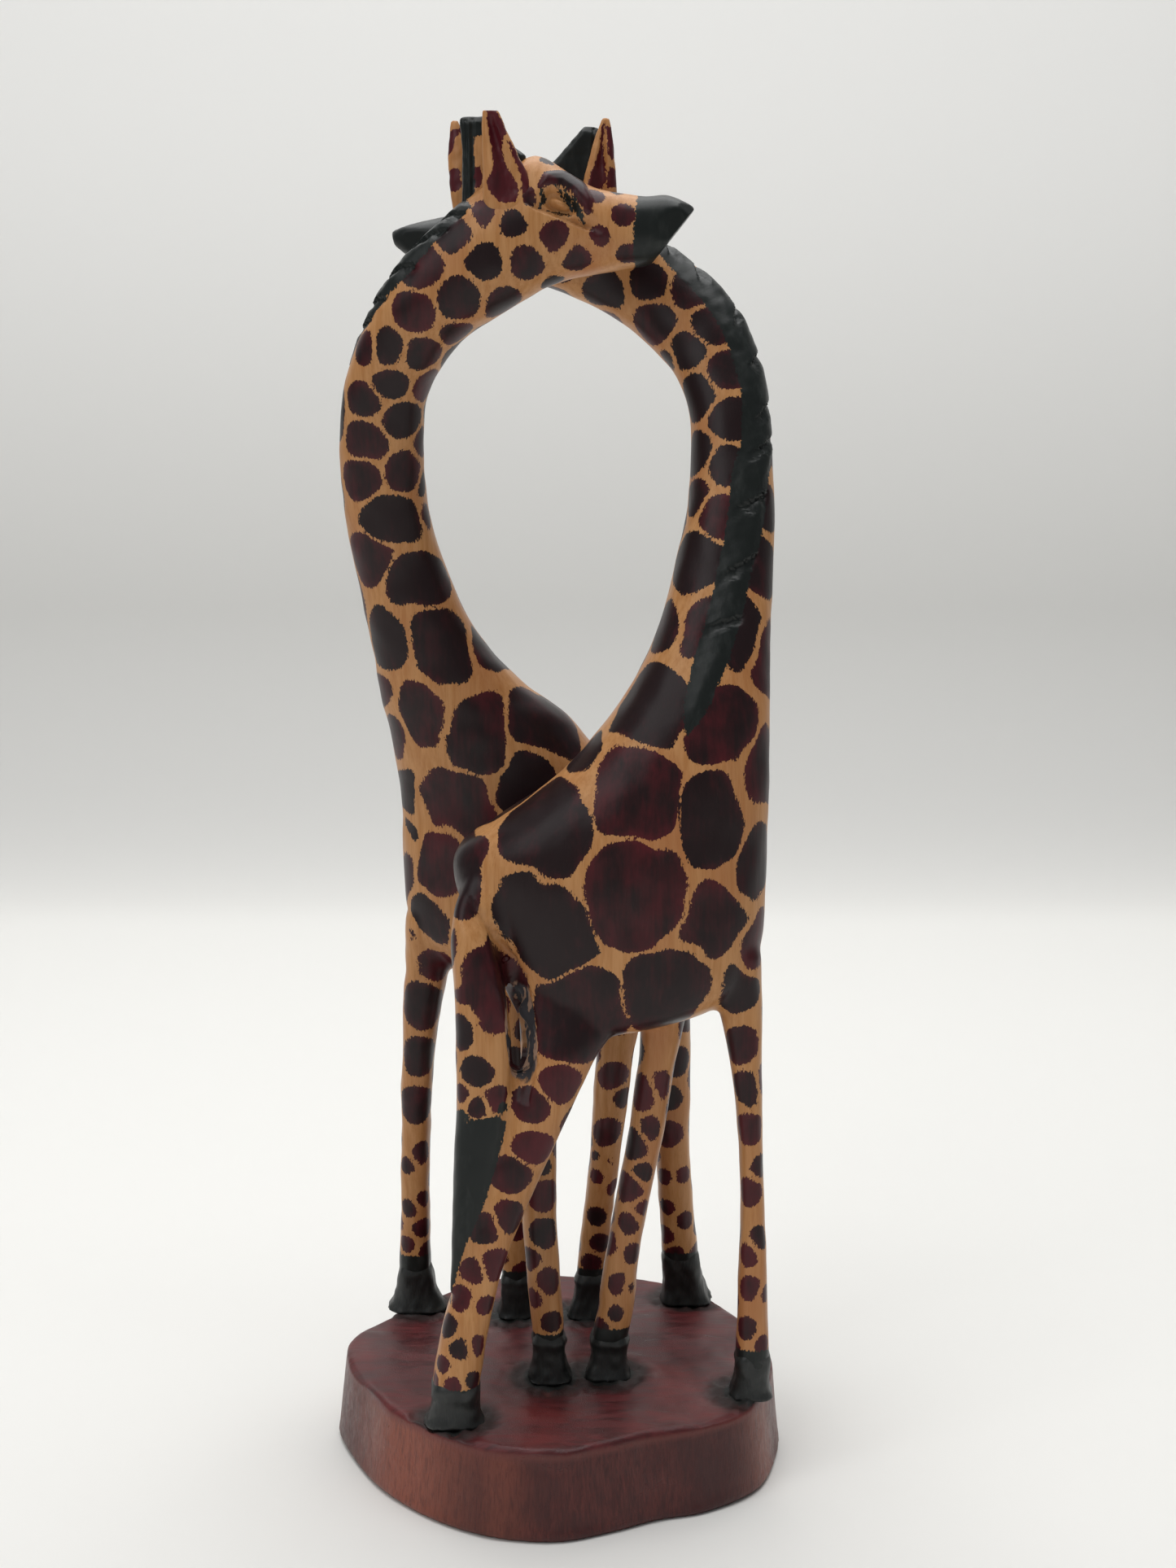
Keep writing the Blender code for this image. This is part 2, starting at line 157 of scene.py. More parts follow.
# Body stations from the belly up to the tip of the muzzle:
# throat-side edge x, z; back-side edge x, z; middle y; half thickness along y.
FRONT_BODY = [
    (32.5, 109.5, 0, 102.5, -19, 4), (38.3, 113.2, -5, 104.3, -19, 10.5),
    (43.6, 119, -9.5, 112, -18.5, 14), (46, 128, -15.5, 125, -18, 15.3),
    (46.5, 139, -22, 138.5, -17.7, 16), (46.8, 150, -21.5, 147, -17.3, 15.7),
    (47, 160.5, -13, 153.5, -16.8, 15.2), (47, 169.5, -0.5, 162, -16, 14.5),
    (47, 179, 10, 173, -15, 13.5), (47, 187.5, 16.8, 182.8, -13.5, 12.3),
    (47.2, 197, 22, 193.5, -11.5, 11), (47.9, 208.5, 26.2, 207.5, -9, 9.6),
    (48.2, 221.5, 29, 221.5, -6, 8.8), (47.7, 234, 30, 232, -3, 8.4),
    (46.6, 245.6, 29.2, 243, 0, 8.2), (44.2, 255.4, 25.6, 251, 3, 8.1),
    (40.1, 264.2, 19.9, 257.2, 5.5, 8.1), (34.6, 270.9, 14, 261.8, 7.5, 8.1),
    (28.5, 275.8, 8.2, 265, 8.6, 8.1), (21.8, 280, 2.5, 267.6, 9, 8.3),
    (14, 284.8, -2.5, 269.2, 9, 8.5), (7, 288.6, -6.5, 270, 9, 8.6),
    (0, 291.2, -10.5, 270.6, 9, 8.5), (-6.5, 290.3, -13.5, 271, 9.2, 8.2),
    (-13, 288.1, -17.5, 271.6, 9.5, 7.6), (-20, 285.6, -22, 272.5, 10, 6.9),
    (-27.5, 284, -27.2, 273.6, 10.3, 6.2), (-33.3, 283.2, -32, 275, 10.5, 5.2),
    (-36.8, 281.2, -35.8, 277.6, 10.5, 2.6),
]
REAR_BODY = [
    (-22.5, 109.5, 11, 102.5, 19, 4), (-28.3, 113.2, 16, 104.3, 19, 10.5),
    (-33.6, 119, 20.5, 112, 18.5, 14), (-36, 128, 25.5, 125, 18, 15.3),
    (-36.5, 139, 32, 138.5, 17.7, 16), (-36.6, 149, 31.5, 147, 17.3, 15.7),
    (-37, 156, 22.5, 154, 16.8, 15.2), (-38, 163, 10.5, 163, 16, 14.5),
    (-39.4, 170.5, 1.7, 172.6, 15, 13.5), (-40.9, 177.5, -8.6, 180.5, 13.5, 12.3),
    (-42.6, 189.5, -17.6, 190.7, 11.5, 11), (-45.5, 205.3, -24.9, 206, 9, 9.6),
    (-47.5, 218.3, -28.6, 219.2, 6, 8.8), (-48.2, 231.5, -29.5, 232, 3, 8.4),
    (-47.4, 242, -28.5, 244, 0, 8.2), (-45, 251.8, -24.7, 251.6, -3, 8.1),
    (-41.6, 259.6, -19.5, 257.4, -5.5, 8.1), (-37.4, 267.2, -13, 261.5, -7.5, 8.1),
    (-32.4, 274, -7.5, 264.8, -8.6, 8.1), (-25.8, 280.6, -3, 267.3, -9, 8.3),
    (-18.5, 286.8, 0.5, 268.9, -9, 8.5), (-11, 291.8, 3.5, 269.8, -9, 8.6),
    (-4.2, 295.4, 6.5, 270.4, -9, 8.5), (2.2, 292.3, 10, 271, -9.2, 8.2),
    (8.8, 288.6, 14.5, 271.7, -9.5, 7.6), (18, 287, 19.8, 272.4, -10, 6.9),
    (24.3, 287.2, 24.5, 274.8, -10.3, 6.2), (28.9, 285.2, 27.9, 277.9, -10.5, 5.2),
    (30.2, 284, 29.5, 280.8, -10.5, 3.6),
]

# Legs from the haunch or shoulder down to the top of the hoof: x, y, z, half sizes along x, y.
FRONT_LEGS = {
    "hind_outer": [(3, -21, 118, 12, 9), (2.5, -24.5, 108, 10.5, 8), (0.3, -26.5, 101, 8.2, 7.2),
                   (-5.2, -28, 86.5, 7, 6.4), (-11.9, -30, 69, 5.7, 5.6), (-16.5, -32, 55, 5, 5),
                   (-19.8, -34, 42.5, 5.3, 4.9), (-22, -35, 29.5, 5.2, 5)],
    "hind_inner": [(-2, -16, 112, 6.5, 6), (-3.3, -14.3, 98, 4.8, 4.8), (-4.1, -14, 75, 4.1, 4.1),
                   (-3.8, -13.2, 59, 4, 4.1), (-3.2, -12.8, 47, 3.9, 4), (-2, -12, 31, 3.6, 3.9)],
    "fore_inner": [(24.5, -14.5, 114, 6, 5.5), (23.3, -14, 100, 4.4, 4.5),
                   (21.9, -13.2, 90, 4.1, 4.2), (20, -12.8, 78, 4, 4.1), (17.9, -12, 66, 3.8, 4),
                   (15.2, -11, 50.5, 3.8, 3.9), (13.8, -10.3, 38, 4.1, 4),
                   (12.3, -10, 30, 4.1, 4.1)],
    "fore_outer": [(39, -19, 124, 6.5, 8), (41, -19.3, 111, 4.8, 6), (42.3, -19.7, 99.5, 3.6, 5),
                   (43.4, -20, 84.5, 2.8, 4.3), (44.2, -20.3, 69, 2.7, 4),
                   (44.4, -20.8, 54, 3.1, 4), (44.6, -21, 30, 3.8, 4.2)],
}
REAR_LEGS = {
    "hind_outer": [(19, 21, 119, 11, 9), (23.5, 24, 106, 7.5, 7.5), (26.9, 26, 93, 5.3, 6),
                   (27.8, 27, 78, 4.5, 5.2), (28.2, 28, 64.5, 4.2, 4.9), (28.9, 30, 51, 4.2, 4.7),
                   (30.4, 33, 33, 4.5, 4.8)],
    "hind_inner": [(16, 15, 112, 6.5, 6), (14.2, 14.3, 95, 4.7, 4.7), (12.7, 15.5, 81, 4.3, 4.3),
                   (11.4, 18, 64, 3.8, 4), (9.5, 22, 46, 3.6, 3.8), (8, 24.5, 31, 3.6, 3.8)],
    "fore_inner": [(-14, 14.5, 114, 6, 5.5), (-12.8, 15.5, 97, 4.4, 4.5), (-11.4, 18.5, 68, 4, 4.1),
                   (-10.7, 22, 46, 3.6, 3.8), (-10.6, 24.5, 31, 3.4, 3.7)],
    "fore_outer": [(-29.5, 18, 124, 6.5, 8), (-31.3, 18.4, 110.5, 5.3, 6.2),
                   (-33.2, 20, 96, 4.3, 5.2), (-34.5, 22.3, 79, 3.7, 4.4), (-35.4, 26, 53, 3.5, 4.1),
                   (-36, 29.3, 31, 4, 4.2)],
}

# Hooves: middle x, y at the foot, half sizes along x, y there.
FRONT_HOOVES = {"hind_outer": (-22.5, -34.2, 6.0, 4.8), "hind_inner": (-1.6, -12, 4.6, 4.6),
                "fore_inner": (11.8, -10, 4.8, 4.6), "fore_outer": (44.3, -20.3, 4.6, 4.5)}
REAR_HOOVES = {"hind_outer": (32, 34.8, 6, 5.4), "hind_inner": (6.8, 25, 4.4, 4.5),
               "fore_inner": (-10.8, 25, 4.1, 4.3), "fore_outer": (-35.6, 30, 6.6, 5.4)}

# How far the black paint climbs above each hoof.
FRONT_PAINT_TOPS = {"hind_outer": 0.4, "hind_inner": 1.5, "fore_inner": 3, "fore_outer": 2.6}
REAR_PAINT_TOPS = {"hind_outer": 1.8, "hind_inner": 2.7, "fore_inner": 2, "fore_outer": 4.5}

# Tail down the rump and, after it, the tuft: x, y, z, half sizes along x, y.
FRONT_TAIL = [(-12.5, -19, 151, 3, 3.5), (-17, -25.4, 138, 4, 4.6), (-17, -27.5, 129, 5.6, 5.8),
              (-16.2, -29, 117, 5.8, 5.6), (-15.4, -30.3, 103, 6.2, 5), (-15.8, -31, 92, 5.7, 4.6),
              (-17.2, -31.7, 82, 4.9, 4.3), (-18.5, -32.6, 72, 3.9, 3.9), (-20.3, -34, 61.5, 2.3, 3),
              (-22, -35, 51, 1.2, 1.8)]
REAR_TAIL = [(21, 19, 151, 3, 3.5), (26, 25.4, 138, 4, 4.6), (26.5, 28, 129, 4.8, 5.6),
             (27, 31, 117, 4.4, 5.2), (27.6, 34, 103, 3.9, 4.2), (28, 35.2, 92, 3.5, 3.6),
             (28.4, 36.2, 82, 3.1, 3.4), (28.8, 37, 72, 2.5, 3), (29.4, 38, 62, 1.8, 2.3),
             (30, 39, 54, 1, 1.5)]
# The edge of the tuft's black paint on the leg: z, x.
FRONT_TUFT_EDGE = [(50, -23), (62, -19.6), (70, -15.8), (80, -12.6), (88, -10.6), (93, -10.2)]
REAR_TUFT_EDGE = [(50, 29.5), (62, 27.4), (72, 26), (82, 25), (93, 24.2)]

# Ears from root to tip: x, y, z, half sizes along x, y; then the way their hollow faces.
FRONT_EARS = {
    "near": ([(9, 4, 282, 3.6, 2.3), (9.4, 3.6, 286, 4.1, 2.6), (9.6, 3.4, 290, 3.95, 2.6),
              (10.1, 3.2, 295, 3.1, 2.3), (10.6, 3.1, 300, 2.1, 1.7), (11.1, 3, 304.9, 0.8, 0.7)], -1),
    "far": ([(8.6, 14.2, 282, 3.4, 2.2), (9, 14.8, 288, 3.7, 2.5), (9.6, 15.2, 294, 3.1, 2.2),
             (10.2, 15.4, 300, 1.9, 1.6), (10.5, 15.4, 303.9, 0.7, 0.7)], 1)}
REAR_EARS = {
    "near": ([(-9.2, -14.2, 281.5, 4.6, 2.2), (-9.4, -14.8, 286, 5.5, 2.8),
              (-10.2, -15.1, 290.7, 4.9, 2.8), (-11.3, -15.3, 295, 3.8, 2.4),
              (-12.3, -15.5, 299, 2.8, 2), (-13.4, -15.6, 303.9, 1.7, 1.2)], -1),
    "far": ([(-18, -3.2, 281, 3.3, 2), (-18.8, -3, 287, 3.7, 2.3), (-19.9, -2.9, 293, 3.1, 2.1),
             (-20.9, -2.8, 299, 2, 1.6), (-21.5, -2.8, 303.5, 0.8, 0.7)], 1)}
# The horns are left as one block between the ears: side view corners x, z, then middle y.
FRONT_HORNS = ([(11, 281), (-3.5, 284), (-3.2, 293.2), (6.4, 303.8), (9.6, 303.4)], 9.2)
REAR_HORNS = ([(-19.5, 280), (-6, 288), (-6, 295.4), (-9, 297.6), (-14.3, 303.4), (-19.8, 303)], -9)

# Stained strips on the open face of the near ears: z, then left and right edge x.
EAR_STRIPS = {
    "front": [[(303.5, 10.2, 10.9), (299, 9.8, 10.5), (296, 8.9, 10.9), (292, 7.4, 11.2),
               (289.8, 7.2, 10.6)],
              [(303, 11.2, 13), (297, 11.5, 14), (296, 12.4, 12.5)],
              [(294.5, 12, 12.5), (293, 11.4, 14), (290, 11.4, 14)]],
    "rear": [[(304, -14.2, -12), (299.5, -13.7, -9.8), (297.5, -13.3, -10.8), (295, -12.9, -10.7),
              (293, -12.7, -10.2), (291.3, -13, -9.3), (289.5, -14.2, -8), (287.5, -13.8, -7.2),
              (285, -11.5, -8)],
             [(297.5, -9.7, -9.1), (295.5, -9, -8), (292.5, -7.8, -6), (290.5, -7, -4.7),
              (287, -6.6, -3.6), (284, -6.3, -3.6), (281, -5.6, -4.4)]]}

# Knife flats that square off the muzzles: a point on the flat, then the way it faces.
FRONT_FLATS = [((-31.5, 10, 274.8), (-0.62, 0, -0.78)), ((-31, 10, 283), (-0.28, 0, 0.96)),
               ((-35.4, 13.5, 281), (-0.55, 0.65, 0.5)), ((-35.2, 7.2, 280.8), (-0.6, -0.62, 0.5)),
               ((-31, 15.2, 279), (-0.3, 0.95, -0.1)), ((-31, 5.6, 279), (-0.3, -0.95, -0.1))]
REAR_FLATS = [((25, -10, 278.1), (0.775, 0, -0.632)), ((27, -10, 286.3), (0.36, 0, 0.93)),
              ((27.8, -13.4, 285), (0.62, -0.6, 0.5)), ((27.8, -7.4, 285), (0.62, 0.6, 0.5)),
              ((24, -15.8, 279), (0.3, -0.95, -0.1)), ((24, -5, 279), (0.3, 0.95, -0.1))]

# The stained brow and the black brush strokes round an eye, some of them painted shade in the eye
# socket: forwards, up, half width.
BROW = [(-3.2, 3.4, 0.7), (-1.4, 4.9, 1.5), (1.6, 5.1, 1.7), (4.6, 3.1, 1.8), (6.3, 0.1, 1.5),
        (6.8, -2.2, 0.8)]
# Some of these strokes are painted shade that darkens the eye socket.
LASHES_AND_SOCKET_SHADE = [[(2.1, 2.6, 0.2), (2.9, 0.4, 0.65), (3.6, -1.8, 0.3)],
          [(3.7, 1, 0.2), (4.7, -2, 0.75), (5.9, -5.1, 0.2)],
          [(0.2, 3.4, 0.2), (1.2, 2.2, 0.3), (1.9, 0.6, 0.1)],
          [(-3.2, 2.8, 0.3), (-2.6, 0.9, 0.5), (-3.6, -1, 0.2)],
          [(-1.9, -1.7, 0.1), (0.8, -2.5, 0.3), (3.2, -2.9, 0.15)]]
# Stain and painted shade on the front giraffe's rump, on the shadowed side of haunch and tail, outside
# the listed patches: x, z, half width.
RUMP_STAINS_AND_SHADE = [[(-19.8, 149, 2.6), (-20.2, 142, 4.4), (-20.4, 138, 4.4)],
               [(-20, 117.3, 1.8), (-15.5, 119.5, 4.2), (-13, 124.5, 4), (-12.5, 129.5, 1.6)],
               [(-13, 122, 4.6), (-9.6, 117.5, 3), (-9.4, 112, 2)]]
# The edge carved between the haunch and the tail: x, z from the rump down.
HAUNCH_EDGE = [(-15.5, 135), (-13, 132), (-10, 126), (-7, 120.5), (-5.6, 116), (-5, 110.5),
               (-4.3, 106), (-5, 98)]

# Where the mane runs: station, degrees from the throat edge over the outer face, half width.
FRONT_MANE = [(7.35, 80, 0.3), (7.8, 80, 1.6), (8.6, 80, 2.6), (9, 79.5, 2.9), (10, 77.5, 3.2),
              (10.8, 77, 3.4), (11.3, 71, 3.9), (11.75, 67, 4.2), (12.35, 62, 4.5), (13, 40, 5.2),
              (14, 30, 5.6), (17.3, 27, 5.2), (19, 18, 4.6), (20.6, 8, 3.6)]
REAR_MANE = [(7.5, 107, 0.3), (8.1, 104, 1.8), (9, 100, 2.8), (10, 90, 3.6), (11, 76, 4.4),
             (12, 60, 4.8), (13, 48, 5), (14, 36, 5.2), (15, 18, 5.4), (16, -4, 5.8), (17, -15, 6),
             (18, -19, 5.8), (19.5, -19, 4.6)]
# Stations of the knife cuts across the mane.
FRONT_CUTS = [9.85, 10.85, 11.9, 12.95, 13.6, 14.6, 15.6, 16.8, 17.8, 18.7]
REAR_CUTS = [9.6, 10.5, 11.5, 12.5, 13.4, 14.4, 15.3, 16.1, 17, 17.9, 18.8]

# Painted patches on the side that faces -Y: x, z, radius, and how much taller than wide if so.
FRONT_PATCHES = [
    (-19.8, 142, 4.6, 1.9), (-1.5, 153.5, 10), (6.5, 168, 5.5, 0.8), (17.5, 160.5, 10),
    (18.5, 138.5, 11.5), (-1.5, 132, 11), (33.5, 154.5, 8.5, 1.15), (36.8, 174.5, 8.5),
    (34.5, 133.5, 8.5), (24, 117.5, 9.5), (4.5, 112.5, 9.5), (45.5, 166, 5, 1.5), (44, 145.5, 5, 1.4),
    (43.5, 128.5, 4.5, 1.2), (39.5, 117.5, 4), (16, 105, 3.5, 0.7), (20.5, 179, 7.5),
    (40.5, 195, 5, 1.4), (46, 189, 4.5, 1.6), (31, 196, 4.5, 1.5), (23.5, 195, 5, 1.2),
    (30, 210, 6, 1.1), (35.5, 219, 4.5), (45.5, 208, 5, 1.2), (46.5, 221, 3.5, 1.2), (30.3, 223, 3.8),
    (37, 230, 4.3), (31, 232.5, 4.3, 1.1), (38.2, 239.6, 4.5, 0.9), (31.2, 245, 4.6, 1.1),
    (37.3, 250.3, 4.4), (28.6, 254.8, 4.5), (33.8, 260.5, 4.5), (22, 261, 4.5), (29.4, 267.8, 3.9),
    (20.8, 269.3, 4), (10.5, 267.3, 4.5), (12, 263, 3), (25, 253, 2.5),
]
FRONT_LEG_PATCHES = [
    (1.3, 97.5, 4, 0.9), (-5, 93, 4, 0.8), (-4.5, 83.5, 4, 0.8), (-9.8, 77.5, 4, 0.9),
    (-10.3, 67.8, 3.3), (-15, 65.5, 3), (-13, 57.5, 3.2), (-18, 56.3, 2.6), (-20.8, 50.2, 2.3, 1.2),
    (-15, 48.6, 2.1), (-23.5, 43.8, 2.3, 1.1), (-20.7, 39.2, 2.2), (-17, 39.6, 1.8, 1.2),
    (-24.8, 35.2, 1.9), (-22.6, 31, 2), (-18, 31.8, 1.9), (-26.5, 31.3, 1.5), (-3.4, 73.5, 2),
    (-2.6, 66.7, 3.2, 1.1), (-2.8, 57.4, 3, 1.1), (-7.3, 51.2, 1.5, 1.3), (-1.8, 45.8, 2.5, 1.2),
    (-5.4, 41.3, 1.9, 1.2), (-1, 35.7, 2.3), (19.8, 90.3, 3.3, 1.2), (23.5, 92, 2.5, 1.4),
    (17.8, 78, 3.2, 1.1), (21, 82, 2.2, 1.3), (16, 67.3, 3, 1.2), (19.7, 71.5, 2.2, 1.2),
    (16.3, 59, 2.2, 1.2), (18.8, 62, 2, 1.2), (12.2, 53.5, 2, 1.3), (17.5, 51.5, 2, 1.2),
    (14.3, 43.8, 2.2, 1.2), (9.7, 41.5, 1.8, 1.2), (16.8, 43, 1.3, 1.2), (13.5, 36.8, 1.6, 1.2),
    (41, 104, 3.3, 1.3), (42.8, 94, 3, 1.2), (45.8, 95, 2.5, 1.3), (43, 85, 2.7, 1.2),
    (45.7, 75.5, 2.3, 1.2), (43.2, 70, 2.6, 1.2), (47, 66.5, 1.6, 1.3), (45.8, 59, 2.2, 1.2),
    (43, 55.5, 2.2, 1.2), (43.7, 47.5, 2.4, 1.1), (47.2, 46, 1.7, 1.2), (43, 38, 2.2, 1.1),
    (46.9, 34, 1.7, 1.2), (-22.5, 128, 3.6, 1.4), (-13, 121, 5.8, 1.6), (-20.3, 109.5, 3, 1.1),
    (-17, 101, 3.2), (-20.5, 95.8, 2), (-16.7, 93.2, 2.4), (-13, 94.5, 2.8),
]
REAR_PATCHES = [
    (-42, 208.8, 5.5, 1.1), (-31, 204, 7, 0.85), (-38.3, 190, 5, 1.5), (-26.5, 190, 7.3),
    (-16, 188, 5, 1.3), (-30, 173.5, 7), (-17.5, 169, 7.5, 1.2), (-3, 172, 8.5, 0.9),
    (-39.8, 178.5, 4), (-38, 168.5, 4, 1.2), (-35.5, 156.5, 5), (-35.2, 147, 2), (-35.5, 133, 4, 1.5),
    (-22, 153.5, 8.5, 0.9), (-8, 157.5, 5.5), (-28.5, 139, 6.5, 1.2), (-30, 126, 5, 1.1),
    (-35.3, 218, 7.2, 0.75), (-26, 219, 3), (-43.2, 227, 4.3), (-33.3, 228.5, 5.2, 0.9),
    (-27.5, 226, 2.5, 1.2), (-41.3, 235, 4.6, 0.9), (-28.3, 235, 3.3), (-33, 239.7, 5, 0.75),
    (-41.6, 243.8, 3.8), (-36, 247.2, 4, 0.8), (-28, 247.5, 3.8), (-36, 255, 3.4),
    (-28.2, 253.7, 4, 0.9), (-21, 258.3, 3.6, 0.9), (-29.7, 262.5, 4.2), (-20.3, 265.5, 4.3),
    (-10.9, 264.5, 3.9), (-28, 272, 4.8), (-21, 278.5, 4.2), (-14.6, 272.7, 4.2), (-5.8, 272.7, 4.1),
    (-8.6, 280.8, 4), (-14.4, 283, 3.2, 1.1), (-0.2, 277.7, 3.5), (0, 269, 2.8, 0.7),
    (-41.3, 255.5, 3), (4.8, 274, 3.2), (9.7, 278, 2.4), (14.6, 282.4, 2.5), (15.8, 274.2, 2.6),
    (9, 286.6, 2.2, 0.8), (-5.2, 286, 1.9, 1.9), (-9.2, 288.5, 2.7), (-12.5, 289, 2.3),
    (-1.5, 294, 2, 0.8), (4, 291, 2, 0.8), (13, 287.4, 1.8, 0.8),
]
REAR_LEG_PATCHES = [
    (13.4, 85.4, 3.2), (15.5, 79.6, 2.2, 1.2), (11.8, 71.1, 3, 1.1), (13.4, 64.7, 2),
    (8.8, 65.2, 1.3), (9.1, 59.4, 1.8), (13.4, 56.2, 1.6, 1.3), (9.1, 48.2, 2.2, 1.1),
    (28.7, 86.6, 3.3), (27.1, 77.4, 2.8), (26.8, 67.6, 3), (23.3, 61.7, 1.8), (26, 55.7, 2),
    (30.5, 56.2, 1.8, 1.1), (26.7, 47.6, 1.9), (31.4, 44, 2, 1.1), (-29.5, 114, 4, 1.2),
    (-32, 102.5, 4.5, 1.2), (-36.8, 115, 2, 1.3), (-33.5, 89.5, 3.7, 1.2), (-34.3, 76.5, 3.5, 1.2),
    (-33.3, 63.5, 2.2, 1.2), (-37, 60.2, 2), (-33.3, 51.3, 1.8, 1.1), (-36.8, 48.7, 2, 1.2),
    (-37.8, 38.5, 2),
]
# Sizes of the patches on the sides not listed: body station, then radius; leg height, then radius.
HIDDEN_BODY_SIZES = [(0, 9), (8, 9), (10, 7), (12, 5), (15, 4.4), (20, 3.9), (23, 2.7), (28, 2)]
HIDDEN_LEG_SIZES = [(28, 1.8), (45, 2.1), (65, 2.7), (90, 3.5), (104, 4.3), (118, 9)]


# ---------------------------------------------------------------- shapes

def blend_rows(rows, places):
    """Catmull-Rom splines through the rows of a table, read at fractional row numbers."""
    table = np.array(rows, float)
    places = np.atleast_1d(np.asarray(places, float))
    last = len(table) - 1
    index = np.clip(places.astype(int), 0, last - 1)
    f = (places - index)[:, None]
    a, b = table[np.maximum(index - 1, 0)], table[index]
    c, d = table[index + 1], table[np.minimum(index + 2, last)]
    return 0.5 * (2 * b + (c - a) * f + (2 * a - 5 * b + 4 * c - d) * f * f
                  + (3 * b - a - 3 * c + d) * f ** 3)


def body_frames(table, places):
    """Middle, half axis towards the throat edge and half axis towards the outer face."""
    throat_x, throat_z, back_x, back_z, y, half = blend_rows(table, places).T
    throat = np.stack([throat_x, y, throat_z], 1)
    back = np.stack([back_x, y, back_z], 1)
    outward = np.zeros_like(throat)
    outward[:, 1] = math.copysign(1, table[4][4]) * half
    return (throat + back) / 2, (throat - back) / 2, outward


def superellipses(centres, across, depth, sides, exponent):
    """One rounded-square ring round each centre."""
    turn = 2 * math.pi * np.arange(sides) / sides
    along = np.sign(np.cos(turn)) * np.abs(np.cos(turn)) ** (2 / exponent)
    out = np.sign(np.sin(turn)) * np.abs(np.sin(turn)) ** (2 / exponent)
    return (centres[:, None] + across[:, None] * along[None, :, None]
            + depth[:, None] * out[None, :, None])


def tube(rings):
    """Corner points and faces of a closed skin through rings of equal length."""
    rows, count = rings.shape[:2]
    faces = []
    for row in range(rows - 1):
        for i in range(count):
            j = (i + 1) % count
            low, high = row * count, (row + 1) * count
            faces.append((low + i, low + j, high + j, high + i))
    faces.append(tuple(range(count - 1, -1, -1)))
    faces.append(tuple(range((rows - 1) * count, rows * count)))
    return rings.reshape(-1, 3), faces


def body_tube(table):
    """Belly, neck, head and muzzle as one closed skin."""
    places = np.linspace(0, len(table) - 1, BODY_RINGS)
    centres, across, outward = body_frames(table, places)
    return tube(superellipses(centres, across, outward, BODY_SIDES, SQUARENESS))


def upright_tube(rows, steps, exponent=LEG_SQUARENESS):
    """A limb whose level sections are given as rows of x, y, z and half sizes along x, y."""
    table = blend_rows(rows, np.linspace(0, len(rows) - 1, steps))
    zero = np.zeros(len(table))
    return tube(superellipses(table[:, :3], np.stack([table[:, 3], zero, zero], 1),
                              np.stack([zero, table[:, 4], zero], 1), LEG_SIDES, exponent))


def horn_block(profile, y):
    """An upright block with its two long faces a little smaller than its middle."""
    corners = np.array([(x, y, z) for x, z in profile], float)
    middle = corners.mean(0)
    rings = []
    for offset, size in ((-1, 0.86), (-0.62, 1), (0.62, 1), (1, 0.86)):
        rings.append(middle + (corners - middle) * size + (0, offset * HORN_HALF_WIDTH, 0))
    return tube(np.array(rings))


def merged_skin(name, tubes, voxel):
    """One closed mesh over all the tubes, made of even small squares."""
    points, faces, start = [], [], 0
    for corners, sides in tubes:
        points.append(corners)
        faces += [tuple(i + start for i in side) for side in sides]
        start += len(corners)
    mesh = bpy.data.meshes.new(name)
    mesh.from_pydata(np.concatenate(points).tolist(), [], faces)
    piece = bpy.data.objects.new(name, mesh)
    bpy.context.collection.objects.link(piece)
    remesh = piece.modifiers.new("even skin", "REMESH")
    remesh.mode = "VOXEL"
    remesh.voxel_size = voxel
    remeshed = piece.evaluated_get(bpy.context.evaluated_depsgraph_get())
    skin = bpy.data.meshes.new_from_object(remeshed)
    piece.modifiers.clear()
    piece.data = skin
    bpy.data.meshes.remove(mesh)
    skin.name = name
    return piece


def read_rows(items, name, width, kind=float):
    """One value of every item, such as each point's place, as a table."""
    values = np.empty(len(items) * width, kind)
    items.foreach_get(name, values)
    return values.reshape(-1, width)


def read_points(mesh):
    return read_rows(mesh.vertices, "co", 3)


def write_points(mesh, points):
    mesh.vertices.foreach_set("co", points.ravel())
    mesh.update()


def read_normals(mesh):
    return read_rows(mesh.vertex_normals, "vector", 3)


def read_edges(mesh):
    return read_rows(mesh.edges, "vertices", 2, int)


def neighbour_mean(values, edges):
    """Each point's mean over the points it shares an edge with."""
    total = np.zeros_like(values)
    count = np.zeros(len(values))
    for here, there in (edges.T, edges.T[::-1]):
        for axis in range(values.shape[1]):
            total[:, axis] += np.bincount(here, values[there, axis], len(values))
        count += np.bincount(here, minlength=len(values))
    return total / np.maximum(count, 1)[:, None]


def relax(mesh, rounds, weight=None):
    """Moves points half way to their neighbours' mean in each round, or less by their weight."""
    points, edges = read_points(mesh), read_edges(mesh)
    share = np.full((len(points), 1), 0.5) if weight is None else 0.5 * weight[:, None]
    for _ in range(rounds):
        points += (neighbour_mean(points, edges) - points) * share
    write_points(mesh, points)


def refine(mesh, chosen):
    """Halves the squares where fine carving needs them."""
    work = bmesh.new()
    work.from_mesh(mesh)
    work.verts.ensure_lookup_table()
    edges = [e for e in work.edges if chosen[e.verts[0].index] and chosen[e.verts[1].index]]
    bmesh.ops.subdivide_edges(work, edges=edges, cuts=1, use_grid_fill=True)
    work.to_mesh(mesh)
    work.free()
    mesh.update()


